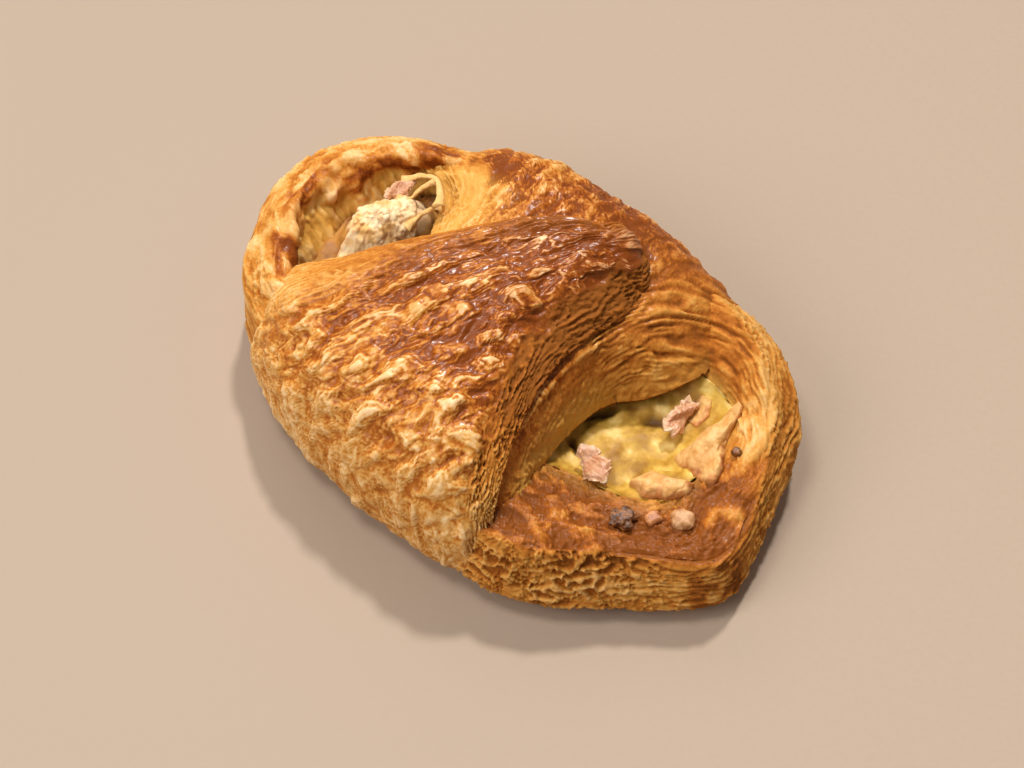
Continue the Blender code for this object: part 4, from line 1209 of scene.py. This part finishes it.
def dough_material():
    m = Nodes("baked_dough_look")
    relief, cut, pit = m.attribute("relief"), m.attribute("cut"), m.attribute("pit")
    bake, gloss, stain = m.attribute("bake"), m.attribute("gloss"), m.attribute("stain")
    mottle = m.noise(3.0, 4.0)
    speck = m.noise(0.7)
    # Painted light on the skin's ridges and lips, painted shade in its valleys, cracks and at the plates'
    # feet
    skin_light_and_shade = m.times(m.level(relief, 0.8, 0.2, -0.25, 0.32), m.level(cut, 0.0, 1.0, 1.0, 0.0))
    # Painted shade in the pits of the cut faces, painted light on the walls between them
    pit_shade_and_wall_light = m.times(m.level(pit, 0.2, 0.8, -0.16, 0.3), cut)
    spots = m.level(speck, 0.35, 0.65, -0.07, 0.07)
    dark = m.plus(bake, m.plus(skin_light_and_shade, pit_shade_and_wall_light), m.level(mottle, 0.3, 0.7, -0.07, 0.07), spots)
    colour = m.ramp(m.math("MINIMUM", dark, DARKEST_CRUST), CRUST)
    # Painted highlight: pale peach on the tops of the glazed plates, where a lamp's reflection would fall
    painted_highlight = m.times(m.level(relief, 0.62, 0.88), m.level(cut, 0.0, 0.6, 1.0, 0.0))
    painted_highlight = m.times(m.times(painted_highlight, gloss), m.level(m.noise(11.0), 0.42, 0.6, 0.15, 1.0))
    colour = m.mix(painted_highlight, colour, srgb(242, 200, 150))
    colour = m.mix(m.times(cut, 0.16), colour, srgb(200, 140, 60))
    colour = m.mix(m.times(stain, 0.8), colour, srgb(206, 156, 70))
    rough = m.plus(m.level(gloss, 0.0, 1.0, 0.66, 0.34), m.level(speck, 0.3, 0.7, -0.06, 0.1))
    fine = m.bump(m.noise(0.45), 0.12, 0.55)
    return m.finish(
        Base_Color=colour, Roughness=rough, Normal=m.bump(m.noise(1.4, rough=0.55), 0.3, 0.5, fine),
        Subsurface_Weight=0.05, Subsurface_Scale=0.0015, Coat_Weight=m.times(gloss, 0.26),
        Coat_Roughness=0.2, Specular_Tint=SHEEN_TINT, Specular_IOR_Level=0.12,
    )


def cheese_material():
    m = Nodes("cheese_sauce_look")
    patch = m.noise(6.5, rough=0.55)
    fine_patch = m.noise(2.4)
    left = m.mix(m.level(patch, 0.4, 0.6), srgb(138, 86, 34), srgb(180, 124, 58))
    colour = m.mix(m.attribute("low"), left, m.ramp(patch, SAUCE))
    cream = m.mix(m.level(fine_patch, 0.38, 0.64), srgb(218, 172, 108), srgb(198, 140, 74))
    colour = m.mix(m.attribute("creamy"), colour, cream)
    white = m.mix(m.level(fine_patch, 0.42, 0.7), srgb(244, 214, 168), srgb(230, 182, 124))
    white = m.mix(m.level(patch, 0.46, 0.62), white, srgb(226, 172, 102))
    colour = m.mix(m.attribute("pale"), colour, white)
    crust = m.mix(m.level(fine_patch, 0.4, 0.62), srgb(190, 116, 58), srgb(140, 64, 28))
    colour = m.mix(m.times(m.attribute("browned"), 0.8), colour, crust)
    # Painted shade in the filling's hollows
    colour = m.mix(m.times(m.attribute("dark"), 0.9), colour, srgb(78, 36, 14))
    return m.finish(
        Base_Color=colour, Roughness=m.level(fine_patch, 0.3, 0.7, 0.4, 0.6),
        Normal=m.bump(m.noise(0.8), 0.2, 0.5), Subsurface_Weight=0.1, Subsurface_Scale=0.003,
        Specular_IOR_Level=0.25,
    )


def ham_material():
    m = Nodes("cooked_ham_look")
    grain = m.noise(1.6, 4.0, stretch=(1.0, 2.5, 1.0))
    colour = m.mix(m.level(grain, 0.35, 0.68), srgb(180, 120, 84), srgb(212, 162, 120))
    colour = m.mix(m.times(m.attribute("rim"), 0.5), colour, srgb(234, 198, 156))
    return m.finish(
        Base_Color=colour, Roughness=m.level(grain, 0.3, 0.7, 0.3, 0.5),
        Normal=m.bump(m.noise(0.6), 0.15, 0.5), Subsurface_Weight=0.2, Subsurface_Scale=0.002,
    )


def bit_material(name, dark, light):
    m = Nodes(name)
    patch = m.noise(1.4, 4.0, 0.65)
    return m.finish(
        Base_Color=m.mix(m.level(patch, 0.38, 0.64), srgb(*dark), srgb(*light)),
        Roughness=m.level(patch, 0.3, 0.7, 0.35, 0.6), Normal=m.bump(m.noise(0.5), 0.2, 0.6),
    )


def floor_material():
    """Flat brown surface, evened out from left to right against the light's fall."""
    m = Nodes("floor_look")
    colour = m.mix(m.level(m.noise(1.5, 2.0, 0.5), 0.3, 0.7), srgb(170, 149, 129), srgb(172, 151, 131))
    across = m.node("VectorMath")
    across.operation = "DOT_PRODUCT"
    across.inputs[1].default_value = view_axes(CAMERA_AZIMUTH, 0.0)[0]
    m.link(m.place, across.inputs[0])
    colour = m.mix(m.level(across.outputs["Value"], -0.13, 0.13), srgb(164, 145, 127), colour)
    return m.finish(Base_Color=colour, Roughness=0.9, Specular_IOR_Level=0.1)


# Stage

CAMERA_AZIMUTH = 41.0
CAMERA_ELEVATION = 58.0
CAMERA_DISTANCE = 587.5
LENS = 85.0
SENSOR = 36.0
PHOTO_PIXEL_MM = 0.243
TARGET = Vector((5.077, -3.341, 22.0))
PHOTO_RIGHT = -6.0
PHOTO_UP = -13.0
FLOOR_HALF = 2.5
LAMP_DISTANCE = 1.2
# Kind, degrees to the right of the view, degrees up, power, and size in degrees or metres
LIGHTS = {
    "key": ("SUN", 14.0, 56.0, 2.5, 5.0),
    "top_soft": ("AREA", -75.0, 76.0, 6.0, 0.36),
    "left_soft": ("AREA", -115.0, 42.0, 7.0, 0.8),
    "back_soft": ("AREA", -20.0, 42.0, 2.0, 0.6),
}
WORLD_COLOUR = (1.0, 0.98, 0.95, 1.0)
WORLD_STRENGTH = 0.27


def view_axes(azimuth, elevation):
    a, e = math.radians(azimuth), math.radians(elevation)
    right = Vector((math.cos(a), math.sin(a), 0))
    forward = Vector((-math.sin(a) * math.cos(e), math.cos(a) * math.cos(e), -math.sin(e)))
    return right, right.cross(forward), forward


def add_camera():
    right, up, forward = view_axes(CAMERA_AZIMUTH, CAMERA_ELEVATION)
    data = bpy.data.cameras.new("camera")
    data.lens, data.sensor_width = LENS, SENSOR
    data.clip_start, data.clip_end = 0.01, 20.0
    camera = add_object("camera", data)
    place = TARGET - CAMERA_DISTANCE * forward
    place += PHOTO_PIXEL_MM * (PHOTO_RIGHT * right + PHOTO_UP * up)
    place *= MM
    camera.matrix_world = Matrix((
        (right.x, up.x, -forward.x, place.x), (right.y, up.y, -forward.y, place.y),
        (right.z, up.z, -forward.z, place.z), (0, 0, 0, 1),
    ))
    bpy.context.scene.camera = camera


def add_floor():
    corners = [(x * FLOOR_HALF, y * FLOOR_HALF, 0) for x, y in ((-1, -1), (1, -1), (1, 1), (-1, 1))]
    mesh = bpy.data.meshes.new("floor")
    mesh.from_pydata(corners, [], [(0, 1, 2, 3)])
    mesh.materials.append(floor_material())
    add_object("floor", mesh)


def light_from(name, kind, azimuth_right, elevation, power, size):
    """Light from a direction given against the camera: 0 behind the object, -90 from the left."""
    right, _, forward = view_axes(CAMERA_AZIMUTH, 0.0)
    ca, sa = heading(azimuth_right)
    ce, se = heading(elevation)
    way = (forward * ca + right * sa) * ce + Vector((0, 0, se))
    data = bpy.data.lights.new(name, kind)
    data.energy = power
    if kind == "SUN":
        data.angle = math.radians(size)
    else:
        data.shape = "DISK"
        data.size = size
    lamp = add_object(name, data)
    lamp.location = way * LAMP_DISTANCE
    lamp.rotation_mode = "QUATERNION"
    lamp.rotation_quaternion = way.to_track_quat("Z", "Y")


def add_light():
    for name, spec in LIGHTS.items():
        light_from(name, *spec)
    world = bpy.data.worlds.new("studio")
    bpy.context.scene.world = world
    world.use_nodes = True
    background = world.node_tree.nodes["Background"]
    background.inputs["Color"].default_value = WORLD_COLOUR
    background.inputs["Strength"].default_value = WORLD_STRENGTH
    bpy.context.scene.view_settings.view_transform = "Standard"


def add_dough(dough):
    """The four parts of the dough, the bits on its rim and the threads; gives the two halves of the base."""
    pieces = [over_flap(dough), under_flap(dough), low_end(dough), raised_end(dough)]
    base = pieces[2:]
    looks = {name: bit_material(name, *colours) for name, colours in BIT_COLOURS.items()}
    for k, (spec, form, look) in enumerate(zip(RIM_BITS, RIM_BIT_LOOKS, RIM_BIT_COLOURS)):
        pieces.append(rim_bit("rim_bit_%d" % (k + 1), spec, form, k, looks[look]))
    for k, spec in enumerate(THREADS):
        pieces.append(thread("dough_thread_%d" % (k + 1), spec, 800 + 5 * k, dough))
    for piece in pieces:
        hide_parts("pastry")
        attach(piece, "root")
    return base


def add_filling(cheese, base):
    """Sauce and melted cheese; gives the sauce."""
    sauce = filling(cheese)
    carried_at = surface_reader(sauce, *base)
    pieces = [sauce]
    for k, (name, spec) in enumerate(MELT_SHEETS.items()):
        pieces.append(cheese_sheet(name, spec, 900 + 10 * k, carried_at, cheese))
    for piece in pieces:
        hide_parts("filling")
        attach(piece, "root")
    return sauce


def add_ham(ham, sauce):
    ground_at = surface_reader(sauce)
    for name, spec in HAM_PIECES.items():
        meat = ham_piece(name, spec, ground_at, ham)
        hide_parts(name)
        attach(meat, "root")


def main():
    base = add_dough(dough_material())
    sauce = add_filling(cheese_material(), base)
    add_ham(ham_material(), sauce)
    add_floor()
    add_light()
    add_camera()


main()
